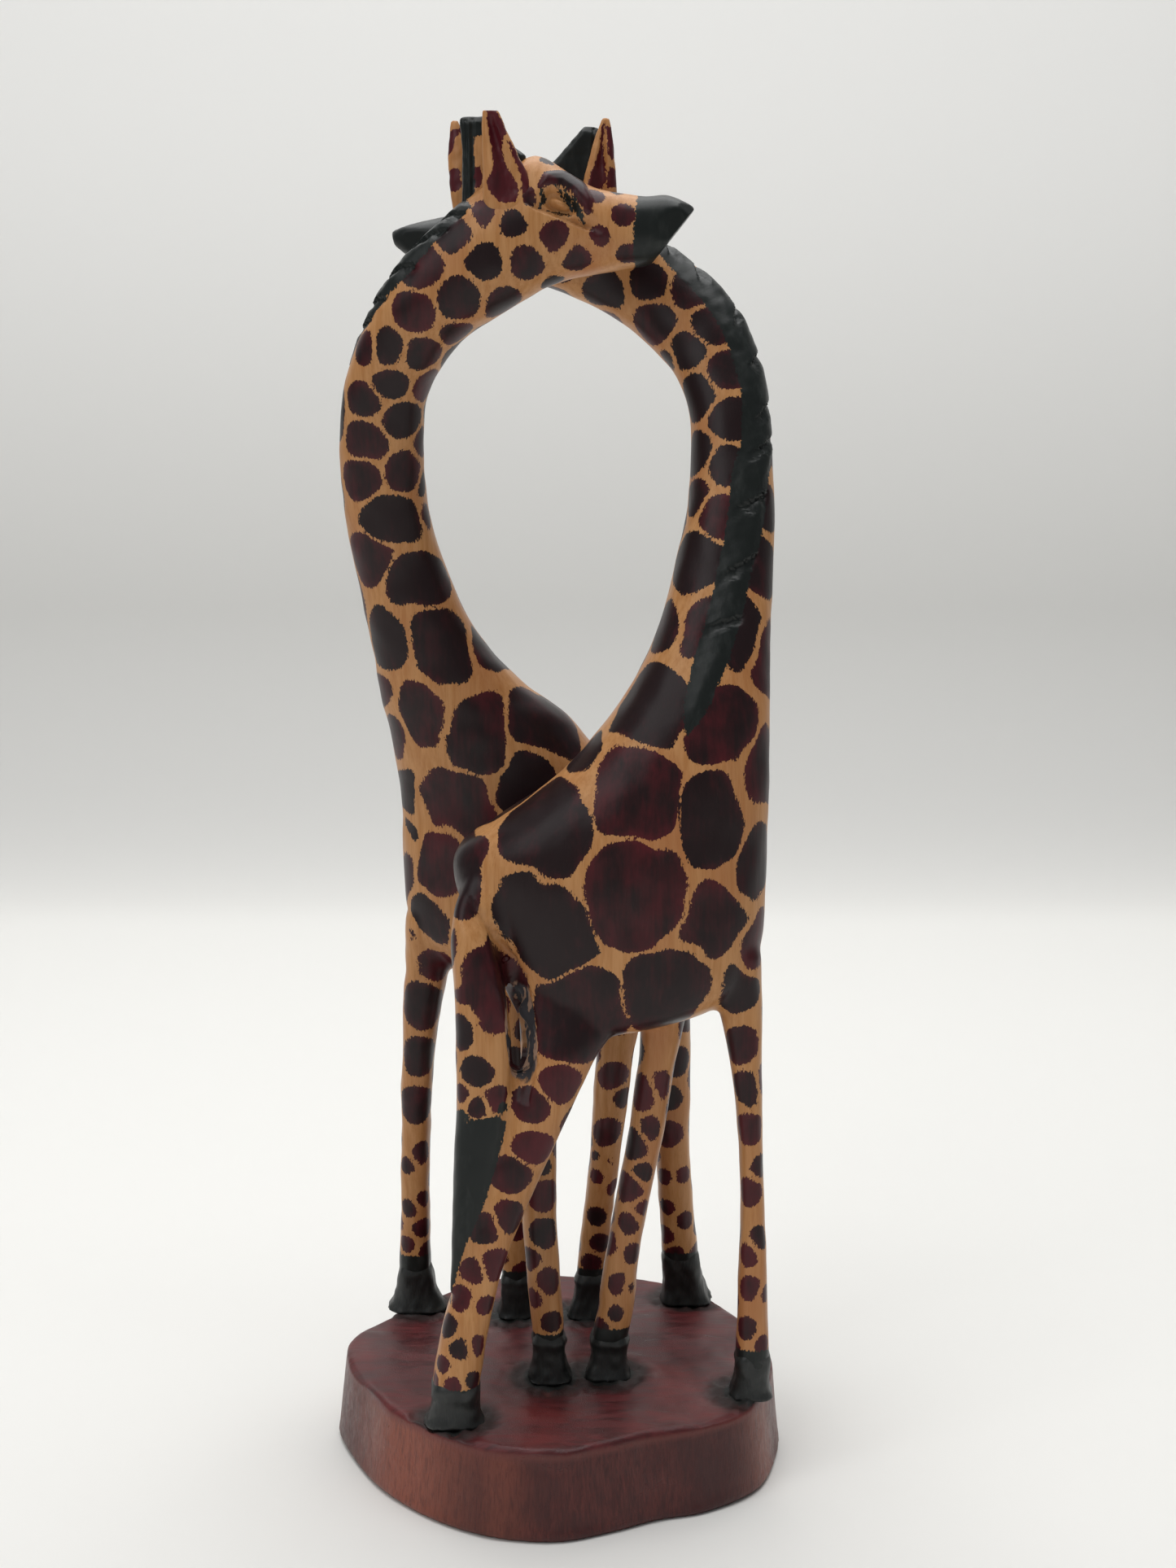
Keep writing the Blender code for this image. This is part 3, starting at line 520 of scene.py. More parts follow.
def soften_creases(mesh, rounds):
    """Fills the sharp inner corners where limbs leave the body, as a carver's rasp does."""
    points, normals, edges = read_points(mesh), read_normals(mesh), read_edges(mesh)
    hollow = ((neighbour_mean(points, edges) - points) * normals).sum(1)
    weight = smooth_step(hollow, 0.015, 0.05)[:, None]
    for _ in range(7):
        weight = np.maximum(weight, neighbour_mean(weight, edges))
    relax(mesh, rounds, weight[:, 0])


# ---------------------------------------------------------------- fields

def smooth_step(value, low, high):
    t = np.clip((value - low) / (high - low), 0, 1)
    return t * t * (3 - 2 * t)


def wave_noise(points, scale, seed):
    """Smooth noise of about unit size whose bumps are about scale wide."""
    draw = np.random.default_rng(seed)
    total = np.zeros(len(points))
    for _ in range(NOISE_WAVES):
        direction = draw.normal(size=3)
        direction /= np.linalg.norm(direction)
        turns = 2 * math.pi / (scale * draw.uniform(1.5, 2.8))
        total += np.sin(points @ direction * turns + draw.uniform(0, 2 * math.pi))
    return total / math.sqrt(NOISE_WAVES / 2)


def soft_min(a, b, width):
    """The smaller value, rounded where the two are within width of each other."""
    h = np.clip(0.5 + 0.5 * (b - a) / width, 0, 1)
    return b + (a - b) * h - width * h * (1 - h)


def batches(count, size):
    """Cuts a long run of points into slices that fit in memory."""
    return [slice(start, start + size) for start in range(0, count, size)]


def spine_places(points, table):
    """Each point's station, its turn round the section in degrees, and its middle distance."""
    places = np.linspace(0, len(table) - 1, SPINE_STEPS)
    centres, across, outward = body_frames(table, places)
    size = np.linalg.norm(across, axis=1)[None, :, None]
    nearest = np.empty(len(points), int)
    for part in batches(len(points), 20000):
        gaps = (points[part, None, :] - centres[None]) / size
        nearest[part] = (gaps ** 2).sum(2).argmin(1)
    offset = points - centres[nearest]
    a, o = across[nearest], outward[nearest]
    along = (offset * a).sum(1) / (a * a).sum(1)
    out = (offset * o).sum(1) / (o * o).sum(1)
    return places[nearest], np.degrees(np.arctan2(out, along)), np.linalg.norm(offset, axis=1)


def read_table(rows, places):
    """Straight-line readings of a table's columns at values of its first column."""
    columns = np.array(rows, float).T
    return [np.interp(places, columns[0], column) for column in columns[1:]]


def mane_field(rows, place, turn, radius):
    """How far inside the mane's edge a point is, and its place across the mane, in mm."""
    centre, half = read_table(rows, place)
    sideways = np.radians((turn - centre + 180) % 360 - 180) * radius
    inside = half - np.abs(sideways)
    ends = np.minimum(place - rows[0][0], rows[-1][0] - place) * 10
    return np.minimum(inside, ends), sideways


def seeds_on_skin(skin, listed):
    """Puts each listed patch on the skin, straight behind its x and z as seen along +Y.

    A seed is a patch's middle x, y, z, its radius and how much taller than wide it is.
    """
    tree = BVHTree.FromPolygons([v.co for v in skin.vertices], [p.vertices for p in skin.polygons])
    placed = []
    for x, z, radius, *tall in listed:
        hit = tree.ray_cast(Vector((x, -FAR, z)), Vector((0, 1, 0)))[0]
        spot = hit or tree.find_nearest(Vector((x, 0, z)))[0]
        placed.append((*spot, radius, *(tall or [1.0])))
    return placed


def add_hidden_seeds(points, sizes, normals, seeds, blocked, seed):
    """Fills the sides with no listed patches, each patch as far from the next as its size."""
    draw = np.random.default_rng(seed)
    spots = np.array([s[:3] for s in seeds])
    radii = np.array([s[3] for s in seeds])
    for i in draw.permutation(len(points))[:SEEDS_TRIED]:
        if blocked[i]:
            continue
        radius = sizes[i]
        apart = 1.1 + 0.3 * radius if normals[i, 1] < 0.1 else 0.55
        if np.all(((spots - points[i]) ** 2).sum(1) > (radius + radii + apart) ** 2):
            spots = np.vstack([spots, points[i]])
            radii = np.append(radii, radius)
            seeds.append((*points[i], radius, 1.0))
    return seeds


def patch_field(points, seeds, listed_count, net, wobble, seed):
    """How far inside a patch each point is, in mm, and which patch it is nearest to."""
    warp = np.stack([wave_noise(points, 9, seed + k) + 0.35 * wave_noise(points, 3.2, seed + 7 + k)
                     for k in range(3)], 1)
    moved = points + warp * wobble[:, None]
    table = np.array(seeds)
    inside = np.empty(len(points))
    nearest = np.empty(len(points), int)
    for part in batches(len(points), 8000):
        offset = moved[part, None, :] - table[:, :3]
        offset[:, :, 2] /= table[:, 4]
        gap = np.linalg.norm(offset, axis=2) - table[:, 3]
        own = gap.argmin(1)
        row = np.arange(len(own))
        first = gap[row, own]
        gap[row, own] = FAR
        radius = table[own, 3]
        corner = np.interp(radius, [2, 4.5, 9], [0.4, 1.3, 3.0])
        # The next patch's gap, made smaller where several patches meet, which rounds corners.
        second = gap.min(1)
        crowd = np.exp((second[:, None] - gap) / corner[:, None]).sum(1)
        second = second - corner * np.log(crowd)
        room = np.interp(radius, [2, 3.5, 5, 6, 9, 11], [0.3, 1.0, 1.4, 1.9, 3.4, 3.8])
        room += np.where(own < listed_count, 0, 0.22 * radius)
        edge = (second - first) / 2 - net[part] + corner * 0.3
        inside[part] = soft_min(edge, room - first, corner)
        nearest[part] = own
    return inside, nearest


# ---------------------------------------------------------------- sculpting

def cut_mane(mesh, rows, cuts, table):
    """Rounds the mane into a low ridge and chips slanting notches out of its outer half."""
    points, normals = read_points(mesh), read_normals(mesh)
    place, turn, radius = spine_places(points, table)
    inside, inwards = mane_field(rows, place, turn, radius)
    stations = np.linspace(0, len(table) - 1, SPINE_STEPS)
    centres = body_frames(table, stations)[0]
    length = np.append(0, np.cumsum(np.linalg.norm(np.diff(centres, axis=0), axis=1)))
    travel = np.interp(place, stations, length)
    sideways = -inwards
    rise = MANE_RIDGE * smooth_step(inside, 0, 2.6) * smooth_step(sideways, -5, 2)
    rough = wave_noise(points, 1.5, 4)
    rise += 0.03 * rough * smooth_step(inside, -0.5, 0.5)
    for number, at in enumerate(cuts):
        start = np.interp(at, stations, length)
        slant = 0.75 + 0.2 * math.sin(number * 2.3)
        across = travel - start - slant * sideways + 0.22 * rough
        groove = np.where(across > 0, 1 - across / 0.4, 1 + across / 3.2)
        reach = smooth_step(sideways, -3.6 + math.sin(number * 3.1), 0.4)
        reach = reach * smooth_step(inside, -0.9, 0.3)
        rise -= (MANE_CUT + 0.12 * rough) * np.clip(groove, 0, 1) * reach
    write_points(mesh, points + normals * rise[:, None])


def head_frame(table, station, share):
    """A spot on the free side of a head, with the ways to the muzzle, up and out."""
    centres, across, outward = body_frames(table, [station - 0.3, station, station + 0.3])
    forward = centres[2] - centres[0]
    forward /= np.linalg.norm(forward)
    up = across[1] / np.linalg.norm(across[1])
    up -= forward * (up @ forward)
    up /= np.linalg.norm(up)
    out = -outward[1] / np.linalg.norm(outward[1])
    return centres[1] + across[1] * (1 - 2 * share) - outward[1], forward, up, out


def segment_gap(f, u, start, end):
    """Distance from a straight line, how far to its left, and the share of the way along it."""
    line = np.array(end[:2], float) - start[:2]
    f, u = f - start[0], u - start[1]
    along = np.clip((f * line[0] + u * line[1]) / (line @ line), 0, 1)
    gap = np.hypot(f - along * line[0], u - along * line[1])
    left = (u * line[0] - f * line[1]) / np.linalg.norm(line)
    return gap, left, along


def stroke_depth(f, u, stroke):
    """How far inside a brush stroke each point is; the stroke's rows end with a half width."""
    depth = np.full(len(f), BARE)
    for start, end in zip(stroke, stroke[1:]):
        gap, _, along = segment_gap(f, u, start, end)
        depth = np.maximum(depth, start[2] + (end[2] - start[2]) * along - gap)
    return depth


def carve_head(mesh, table):
    """Cuts eye, brow and cheek, and says how far inside the brow and the lashes, which are partly
    painted socket shade, each point is.
    """
    points, normals = read_points(mesh), read_normals(mesh)
    spot, forward, up, out = head_frame(table, EYE_CUT_STATION, 0.41)
    offset = points - spot
    f, u, o = offset @ forward, offset @ up, offset @ out
    near = (o > -5) & (normals @ out > 0.1)
    socket = 1 - np.hypot((f - 0.7) / 4.4, (u + 0.35 * f) / np.where(u + 0.35 * f > 0, 3.5, 2.8))
    lid = 1 - np.hypot((f - 0.7) / 2.9, (u + 0.4 * f + 0.1) / 1.5)
    move = EYE_LID * smooth_step(lid, 0, 0.8) - EYE_SOCKET * smooth_step(socket, 0, 0.4)
    gap, above, _ = segment_gap(f, u, (-4.6, -1.0), (6.4, -5.8))
    move -= CHEEK_CUT * np.clip(1 - gap / np.where(above > 0, 3.4, 0.45), 0, 1)
    brow = stroke_depth(f, u, BROW)
    move += BROW_RIDGE * smooth_step(brow, -0.3, 1.2)
    write_points(mesh, points + normals * np.where(near, move, 0)[:, None])
    # Black lash strokes, partly painted shade in the eye socket.
    lashes_and_shade = np.max([stroke_depth(f, u, stroke) for stroke in LASHES_AND_SOCKET_SHADE], axis=0)
    return np.where(near, brow, BARE), np.where(near, lashes_and_shade, BARE)


def carve_flats(mesh, flats, chosen):
    """Slices a few knife flats off the chosen part of a skin."""
    points = read_points(mesh)
    for at, facing in flats:
        way = np.array(facing) / np.linalg.norm(facing)
        over = np.maximum((points - at) @ way, 0) * chosen
        points -= over[:, None] * way
    write_points(mesh, points)


def carve_haunch(mesh):
    """Cuts the haunch's rear edge and the rough notch below it.

    Says how far inside the notch and the rump's stain and painted shade each point is, and how far
    from the edge.
    """
    points, normals = read_points(mesh), read_normals(mesh)
    x, y, z = points.T
    outer = (y < -22) & (normals[:, 1] < 0.3)
    depth = np.zeros(len(points))
    nearest = np.full(len(points), FAR)
    for start, end in zip(HAUNCH_EDGE, HAUNCH_EDGE[1:]):
        gap, left, _ = segment_gap(x, z, start, end)
        nearest = np.minimum(nearest, np.where(outer, gap, FAR))
        depth = np.maximum(depth, np.clip(1 - gap / np.where(left > 0, 0.6, 5.5), 0, 1))
    raw = 1 - np.hypot((x + 7.7 + 0.06 * (z - 107)) / 3.0, (z - 107.5) / 11)
    raw = np.where(outer, raw, -1)
    # The rump's stain strokes, partly painted shade on the shadowed side of haunch and tail.
    stain_and_shade = np.max([stroke_depth(x, z, stroke) for stroke in RUMP_STAINS_AND_SHADE], axis=0)
    stain_and_shade = np.where((y < -15) & (normals[:, 1] < 0.2), stain_and_shade, BARE)
    chips = 0.6 * wave_noise(points * (1, 1, 0.45), 1.5, 61)
    move = -HAUNCH_CUT * depth * outer - (TORN_NOTCH + chips) * smooth_step(raw, 0, 0.5)
    write_points(mesh, points + normals * move[:, None])
    return raw, stain_and_shade, nearest


def hollow_ear(mesh, rows, side, strips):
    """Hollows the open face of an ear, and says how far inside its maroon marks it is."""
    points = read_points(mesh)
    x, y, z = points.T
    table = np.array(rows)
    middle_x, middle_y, half_x = (np.interp(z, table[:, 2], table[:, k]) for k in (0, 1, 3))
    share = (z - table[0, 2]) / (table[-1, 2] - table[0, 2])
    across = (x - middle_x) / half_x
    open_face = smooth_step((y - middle_y) * side, -0.2, 0.4)
    groove = np.interp(share, [0, 0.2, 0.6, 0.95, 1], [0.62, 0.58, 0.4, 0.35, 0.1])
    hollow = np.clip(1.25 - np.abs(across - 0.2 + 0.35 * share) / groove, 0, 1) * open_face
    hollow *= smooth_step(share, 0.12, 0.3) * smooth_step(share, 1.0, 0.85)
    points[:, 1] -= side * hollow * np.minimum(EAR_HOLLOW, half_x * 0.55)
    write_points(mesh, points)
    marks = 1.3 * wave_noise(points, 2.6, int(abs(middle_x[0]) * 9)) - 0.8
    if strips:
        shown = np.max([strip_depth(x, z, strip) for strip in strips], axis=0)
        marks = np.where(open_face > 0.3, shown, marks)
    return marks


def strip_depth(x, z, strip):
    """How far inside a strip each point is; the strip's rows are z, left and right edge x."""
    levels, left, right = np.array(strip[::-1]).T
    wide = np.minimum(x - np.interp(z, levels, left), np.interp(z, levels, right) - x)
    tall = np.minimum(z - levels[0], levels[-1] - z)
    return np.maximum(np.minimum(wide, tall), BARE)


def carve_facets(mesh, depth, scale, seed):
    """Shallow flats left by the knife under the sanding."""
    points, normals = read_points(mesh), read_normals(mesh)
    bumps = wave_noise(points, scale, seed) * 0.6 + wave_noise(points, scale * 0.4, seed + 5) * 0.25
    write_points(mesh, points + normals * (bumps * depth)[:, None])


def keep_fields(mesh, **fields):
    """Keeps fields on the mesh's points for the materials; a plain number covers all points."""
    for name, values in fields.items():
        layer = mesh.attributes.new(name, "FLOAT", "POINT")
        filled = np.empty(len(mesh.vertices), np.float32)
        filled[:] = values
        layer.data.foreach_set("value", filled)


def finish_piece(piece, material, nodes):
    """Turns a piece into metres, gives it its material, hangs it on the root and hides the CAD nodes
    it stands for.
    """
    mesh = piece.data
    write_points(mesh, read_points(mesh) * MM)
    mesh.shade_smooth()
    mesh.materials.clear()
    mesh.materials.append(material)
    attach(piece, "root")
    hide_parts(*nodes)


# ---------------------------------------------------------------- node helpers

def add_node(tree, kind, inputs=None, **settings):
    made = tree.nodes.new("ShaderNode" + kind)
    for name, value in settings.items():
        setattr(made, name, value)
    for socket, value in (inputs or {}).items():
        if isinstance(value, bpy.types.NodeSocket):
            tree.links.new(value, made.inputs[socket])
        else:
            made.inputs[socket].default_value = value
    return made


def do_math(tree, operation, a, b=0.0, c=0.0):
    return add_node(tree, "Math", {0: a, 1: b, 2: c}, operation=operation).outputs[0]


def step_between(tree, value, low, high, out_low=0.0, out_high=1.0):
    return add_node(tree, "MapRange", {0: value, 1: low, 2: high, 3: out_low, 4: out_high},
                    interpolation_type="SMOOTHSTEP").outputs[0]


def mix_colour(tree, share, a, b):
    a = (*a, 1) if isinstance(a, tuple) else a
    b = (*b, 1) if isinstance(b, tuple) else b
    return add_node(tree, "Mix", {0: share, 6: a, 7: b}, data_type="RGBA").outputs[2]


def fade(tree, value, low, high, a, b, most=1.0):
    """Goes from colour a to colour b as a value climbs from low to high."""
    return mix_colour(tree, step_between(tree, value, low, high, 0, most), a, b)


def streaks(tree, scales, detail=2.0, roughness=0.5, distortion=0.0, shift=0.0):
    """Noise whose bumps are 1 / scale millimetres wide along x, y and z."""
    place = add_node(tree, "TexCoord").outputs["Object"]
    scaled = add_node(tree, "Mapping", {"Vector": place, "Location": (shift, shift, shift),
                                        "Scale": tuple(scale / MM for scale in scales)})
    return add_node(tree, "TexNoise", {"Vector": scaled.outputs[0], "Scale": 1.0, "Detail": detail,
                                       "Roughness": roughness, "Distortion": distortion}).outputs[0]


def grain(tree, scale_xy, scale_z, *settings, **more):
    """Streaks drawn out along the trunk."""
    return streaks(tree, (scale_xy, scale_xy, scale_z), *settings, **more)


def attribute(tree, name):
    return add_node(tree, "Attribute", attribute_name=name).outputs["Fac"]


def new_material(name, specular=0.5):
    material = bpy.data.materials.new(name)
    material.use_nodes = True
    shader = material.node_tree.nodes["Principled BSDF"]
    shader.inputs["Specular IOR Level"].default_value = specular
    return material, material.node_tree, shader


def dress(tree, shader, colour, rough, height, strength, distance):
    """Gives a shader its colour, its roughness and its small bumps, whose size is in mm."""
    bump = add_node(tree, "Bump", {"Height": height, "Strength": strength, "Distance": distance * MM})
    tree.links.new(colour, shader.inputs["Base Color"])
    tree.links.new(rough, shader.inputs["Roughness"])
    tree.links.new(bump.outputs[0], shader.inputs["Normal"])


def jagged(tree, field, reach, soft=0.07, shift=0.0):
    """Cuts a field at zero with an edge as toothed as brush marks along the grain."""
    teeth = do_math(tree, "SUBTRACT", grain(tree, 2.5, 1.1, 1.5, 0.6, shift=shift), 0.5)
    moved = do_math(tree, "MULTIPLY_ADD", teeth, reach, field)
    return step_between(tree, moved, -soft, soft), moved


def painted_wood():
    """Bare wood with maroon patches and black paint, and torn wood in the haunch notch; the patch
    stain also paints shade on the rump, and the black paint also paints shade in the eye sockets.
    """
    material, tree, shader = new_material("painted_wood", 0.28)
    long_grain = grain(tree, 0.8, 0.04, 3, 0.6)
    fine_grain = grain(tree, 3.2, 0.16, 2, 0.6, shift=5)
    broad = grain(tree, 0.07, 0.03, 2, 0.5, shift=9)
    wood = fade(tree, long_grain, 0.3, 0.75, PALE_WOOD, WARM_WOOD)
    wood = fade(tree, fine_grain, 0.5, 0.85, wood, GRAIN_LINE, 0.4)
    wood = fade(tree, broad, 0.45, 0.75, wood, RUDDY_WOOD, 0.6)
    patch, depth = jagged(tree, attribute(tree, "patch"), 1.4)
    blotch = grain(tree, 0.16, 0.09, 3, 0.6, shift=2)
    streak = grain(tree, 1.1, 0.06, 2, 0.55, shift=4)
    red = do_math(tree, "MULTIPLY_ADD", blotch, 1.5, attribute(tree, "tone"))
    red = do_math(tree, "MULTIPLY_ADD", streak, 0.5, red)
    red = do_math(tree, "ADD", red, step_between(tree, depth, 0.1, 1.6, 0.18, 0))
    # The patch stain colour, which also paints shade on the rump.
    stain_and_shade = fade(tree, red, 1.05, 2.0, DARK_STAIN, RED_STAIN)
    colour = mix_colour(tree, patch, wood, stain_and_shade)
    paint, _ = jagged(tree, attribute(tree, "paint"), 1.5, shift=11)
    worn = grain(tree, 0.35, 0.12, 3, 0.6, shift=6)
    black = fade(tree, worn, 0.45, 0.8, SKIN_BLACK, SKIN_BLACK_WORN)
    colour = mix_colour(tree, paint, colour, black)
    chips = grain(tree, 0.45, 0.13, 3, 0.6, shift=13)
    splinter = fade(tree, chips, 0.50, 0.56, SPLINTER_DARK, SPLINTER_PALE)
    bare = do_math(tree, "MULTIPLY_ADD", chips, 0.5, attribute(tree, "raw"))
    bare = step_between(tree, bare, 0.28, 0.36)
    colour = mix_colour(tree, bare, colour, splinter)
    covered = do_math(tree, "MAXIMUM", patch, paint)
    rough = do_math(tree, "MULTIPLY_ADD", fine_grain, 0.12, 0.31)
    rough = do_math(tree, "MULTIPLY_ADD", covered, -0.03, rough)
    rough = do_math(tree, "MULTIPLY_ADD", bare, 0.3, rough)
    height = do_math(tree, "MULTIPLY_ADD", covered, 0.3, fine_grain)
    dress(tree, shader, colour, rough, height, 0.2, 0.1)
    return material


def black_wood():
    """Brushed black paint, a little worn and scuffed."""
    material, tree, shader = new_material("black_painted_wood")
    worn = grain(tree, 0.45, 0.2, 3, 0.6)
    brush = grain(tree, 2.2, 0.35, 2, 0.6, shift=3)
    colour = fade(tree, worn, 0.4, 0.8, HOOF_BLACK, HOOF_BLACK_WORN)
    colour = fade(tree, brush, 0.6, 0.9, colour, HOOF_SCUFF, 0.5)
    rough = do_math(tree, "MULTIPLY_ADD", brush, 0.2, 0.34)
    dress(tree, shader, colour, rough, brush, 0.4, 0.2)
    return material


def stained_wood():
    """The base: streaked red-brown walls, and a varnished top that is scraped round the feet, with
    painted glints in its lighter red clouds and a painted highlight along its rim.
    """
    material, tree, shader = new_material("stained_base_wood", 0.36)
    top = attribute(tree, "top")
    scraped = attribute(tree, "scraped")
    upright = grain(tree, 1.5, 0.16, 4, 0.68, 0.8)
    fine = grain(tree, 4.2, 0.5, 2, 0.6, 0.3, shift=4)
    cloud = grain(tree, 0.05, 0.05, 3, 0.55, shift=8)
    level = streaks(tree, (0.09, 0.42, 0.3), 3, 0.62, 0.9)
    side = fade(tree, upright, 0.3, 0.75, SIDE_DARK, SIDE_RED)
    side = fade(tree, fine, 0.5, 0.85, side, SIDE_LINE, 0.5)
    side = fade(tree, cloud, 0.40, 0.62, side, SIDE_CLOUD, 0.75)
    pale = step_between(tree, upright, 0.25, 0.6, 0.4, 1)
    pale = do_math(tree, "MULTIPLY", attribute(tree, "pale"), pale)
    side = mix_colour(tree, pale, side, SIDE_WORN)
    face = fade(tree, level, 0.38, 0.68, TOP_DARK, TOP_RED)
    # Lighter red clouds on the top: stain that varies, and partly painted glints.
    face = fade(tree, cloud, 0.45, 0.7, face, TOP_CLOUD_AND_GLINT, 0.6)
    face = mix_colour(tree, scraped, face, TOP_SCRAPED)
    colour = mix_colour(tree, top, side, face)
    # A painted highlight along the top rim.
    rim = do_math(tree, "MULTIPLY", top, do_math(tree, "SUBTRACT", 1.0, top))
    colour = mix_colour(tree, do_math(tree, "MULTIPLY", rim, 1.8), colour, RIM_HIGHLIGHT)
    ink, _ = jagged(tree, attribute(tree, "ink"), 2.6, 0.4, shift=7)
    colour = mix_colour(tree, ink, colour, INK)
    rough = do_math(tree, "MULTIPLY_ADD", level, 0.5, 0.12)
    rough = do_math(tree, "MULTIPLY_ADD", scraped, 0.2, rough)
    height = do_math(tree, "MULTIPLY_ADD", level, 1.4, fine)
    dress(tree, shader, colour, rough, height, 0.35, 0.25)
    return material


# ---------------------------------------------------------------- pieces

def near_any(points, spots):
    """Distance to the nearest of a few points, in mm."""
    gaps = [np.linalg.norm(points - spot, axis=1) for spot in spots]
    return np.min(gaps, axis=0)


def base_outline():
    """The base's outline as a smooth closed walk through its listed corners."""
    walk = []
    count = len(BASE_OUTLINE)
    for corner in range(count):
        near = [BASE_OUTLINE[(corner + offset) % count] for offset in (-1, 0, 1, 2)]
        walk.append(blend_rows(near, 1 + np.arange(8) / 8))
    return np.concatenate(walk)


def worn_sides(points):
    """How pale the base's wall is at each point's bearing."""
    angle = np.degrees(np.arctan2(points[:, 1], points[:, 0]))
    pale = np.zeros(len(points))
    for middle, spread, strength in PALE_SIDES:
        away = (angle - middle + 180) % 360 - 180
        pale = np.maximum(pale, strength * np.exp(-(away / spread) ** 2))
    return pale


def make_base(material):
    """The slab, with a wavy top that is scraped low round the feet and dented walls."""
    outline = base_outline()
    reach = np.linalg.norm(outline, axis=1).max()
    levels = [(0, BASE_EDGE), (0.4, 0.55), (BASE_EDGE, 0),
              (BASE_HEIGHT - 1.6 * BASE_EDGE, BASE_TAPER),
              (BASE_HEIGHT - 0.4 * BASE_EDGE, BASE_TAPER + 0.3), (BASE_HEIGHT, BASE_TAPER + 1.2)]
    rings = []
    for z, inset in levels:
        ring = np.zeros((len(outline), 3))
        ring[:, :2] = outline * (1 - inset / reach)
        ring[:, 2] = z
        rings.append(ring)
    base = merged_skin("carved_base", [tube(np.array(rings))], BASE_VOXEL)
    mesh = base.data
    relax(mesh, 3)
    points = read_points(mesh)
    feet = [np.array((x, y, BASE_HEIGHT)) for hooves in (FRONT_HOOVES, REAR_HOOVES)
            for x, y, _, _ in hooves.values()]
    ring = near_any(points, feet)
    top = smooth_step(points[:, 2], BASE_HEIGHT - 1.5, BASE_HEIGHT - 0.4)
    dip = smooth_step(ring, 12.5, 7.5) * (0.55 + 0.5 * wave_noise(points, 1.9, 31))
    wave = 0.28 * wave_noise(points * (1, 1, 0.2), 12, 21) + 0.10 * wave_noise(points, 4, 22)
    points[:, 2] += top * (np.minimum(wave, 0.25) - dip * 0.55 - 0.3)
    side = (1 - top) * smooth_step(points[:, 2], 0.6, 3)
    outward = points[:, :2] / np.linalg.norm(points[:, :2], axis=1)[:, None]
    dent = 0.25 * wave_noise(points * (1, 1, 0.3), 9, 23) - 0.2
    points[:, :2] += outward * (side * dent)[:, None]
    points[:, 2] = np.where(points[:, 2] < 0.35, np.maximum(points[:, 2], 0) * 0.5, points[:, 2])
    write_points(mesh, points)
    keep_fields(mesh, top=smooth_step(points[:, 2], BASE_HEIGHT - 3.2, BASE_HEIGHT - 0.9),
                scraped=top * smooth_step(ring, 12, 8),
                ink=np.where(top > 0.5, 6.2 - ring, BARE), pale=worn_sides(points) * (1 - top))
    finish_piece(base, material, ["base"])


def make_hoof(prefix, side, leg, foot, material):
    """A flared foot with its faces left as cut; the inner feet have a stepped collar.

    Its first row is a little smaller than the leg and hidden inside it.
    """
    x, y, half_x, half_y = foot
    ankle = leg[-1]
    top = ankle[2]
    bottom = BASE_HEIGHT - 0.7
    rise = 1.6 / (leg[-2][2] - top)
    above = np.array(ankle) * (1 - rise) + np.array(leg[-2]) * rise
    rows = [above - (0, 0, 0, 0.6, 0.6)]
    collar = 1.07 if side.endswith("inner") else 1.0
    for share, flare in ((0, 1.0), (0.12, collar), (0.24, 0.98), (0.5, 0.93), (0.8, 1.0), (1, 1.14)):
        grow_x = (ankle[3] + 0.12) * (1 - share) + half_x * share
        grow_y = (ankle[4] + 0.12) * (1 - share) + half_y * share
        rows.append((ankle[0] + (x - ankle[0]) * share, ankle[1] + (y - ankle[1]) * share,
                     top + (bottom - top) * share, grow_x * flare, grow_y * flare))
    name = f"{prefix}_{side}_hoof"
    skin = upright_tube(rows, 24, exponent=HOOF_SQUARENESS)
    hoof = merged_skin(f"carved_{name}", [skin], HOOF_VOXEL)
    relax(hoof.data, 2)
    carve_facets(hoof.data, 0.22, 3.4, 50 + len(name))
    finish_piece(hoof, material, [name])


def tuft_field(points, animal):
    """How far inside the tail tuft's paint each point is, in mm."""
    x, y, z = points.T
    edge = np.interp(z, *np.array(animal["tuft_edge"]).T)
    rump = math.copysign(1, animal["tail"][-1][0])
    leg = np.array(animal["legs"]["hind_outer"][::-1])
    leg_y = np.interp(z, leg[:, 2], leg[:, 1])
    beyond = np.abs(y) - np.abs(leg_y) - animal["tuft_from"]
    tuft = np.minimum((x - edge) * rump, TUFT_TOP - z + 1.6 * wave_noise(points, 3.5, 8))
    tuft = np.minimum(tuft, np.where(y * leg_y > 0, beyond * 2, BARE))
    return np.where(np.abs(z - 71) < 23, tuft, BARE)


def paint_field(points, animal, place, turn, radius):
    """How far inside black paint each point is, in mm: mane, muzzle, tuft and leg ends."""
    inside, _ = mane_field(animal["mane"], place, turn, radius)
    upright = np.abs(points[:, 2] - 285) < 40
    muzzle = np.where((place > 23) & upright, (place - MUZZLE_PAINT_STATION) * 7.0, BARE)
    field = np.maximum(inside, muzzle)
    for side, rows in animal["legs"].items():
        ankle = rows[-1]
        gap = np.hypot(points[:, 0] - ankle[0], points[:, 1] - ankle[1])
        top = ankle[2] + animal["paint_tops"][side]
        field = np.maximum(field, np.where(gap < 12, top - points[:, 2], BARE))
    return np.maximum(field, tuft_field(points, animal))


def hidden_sizes(points, place):
    """The radius of a patch that is placed at each point where none is listed."""
    body = read_table(HIDDEN_BODY_SIZES, place)[0]
    leg = read_table(HIDDEN_LEG_SIZES, points[:, 2])[0]
    return np.where(points[:, 2] < 118, np.minimum(body, leg), body)


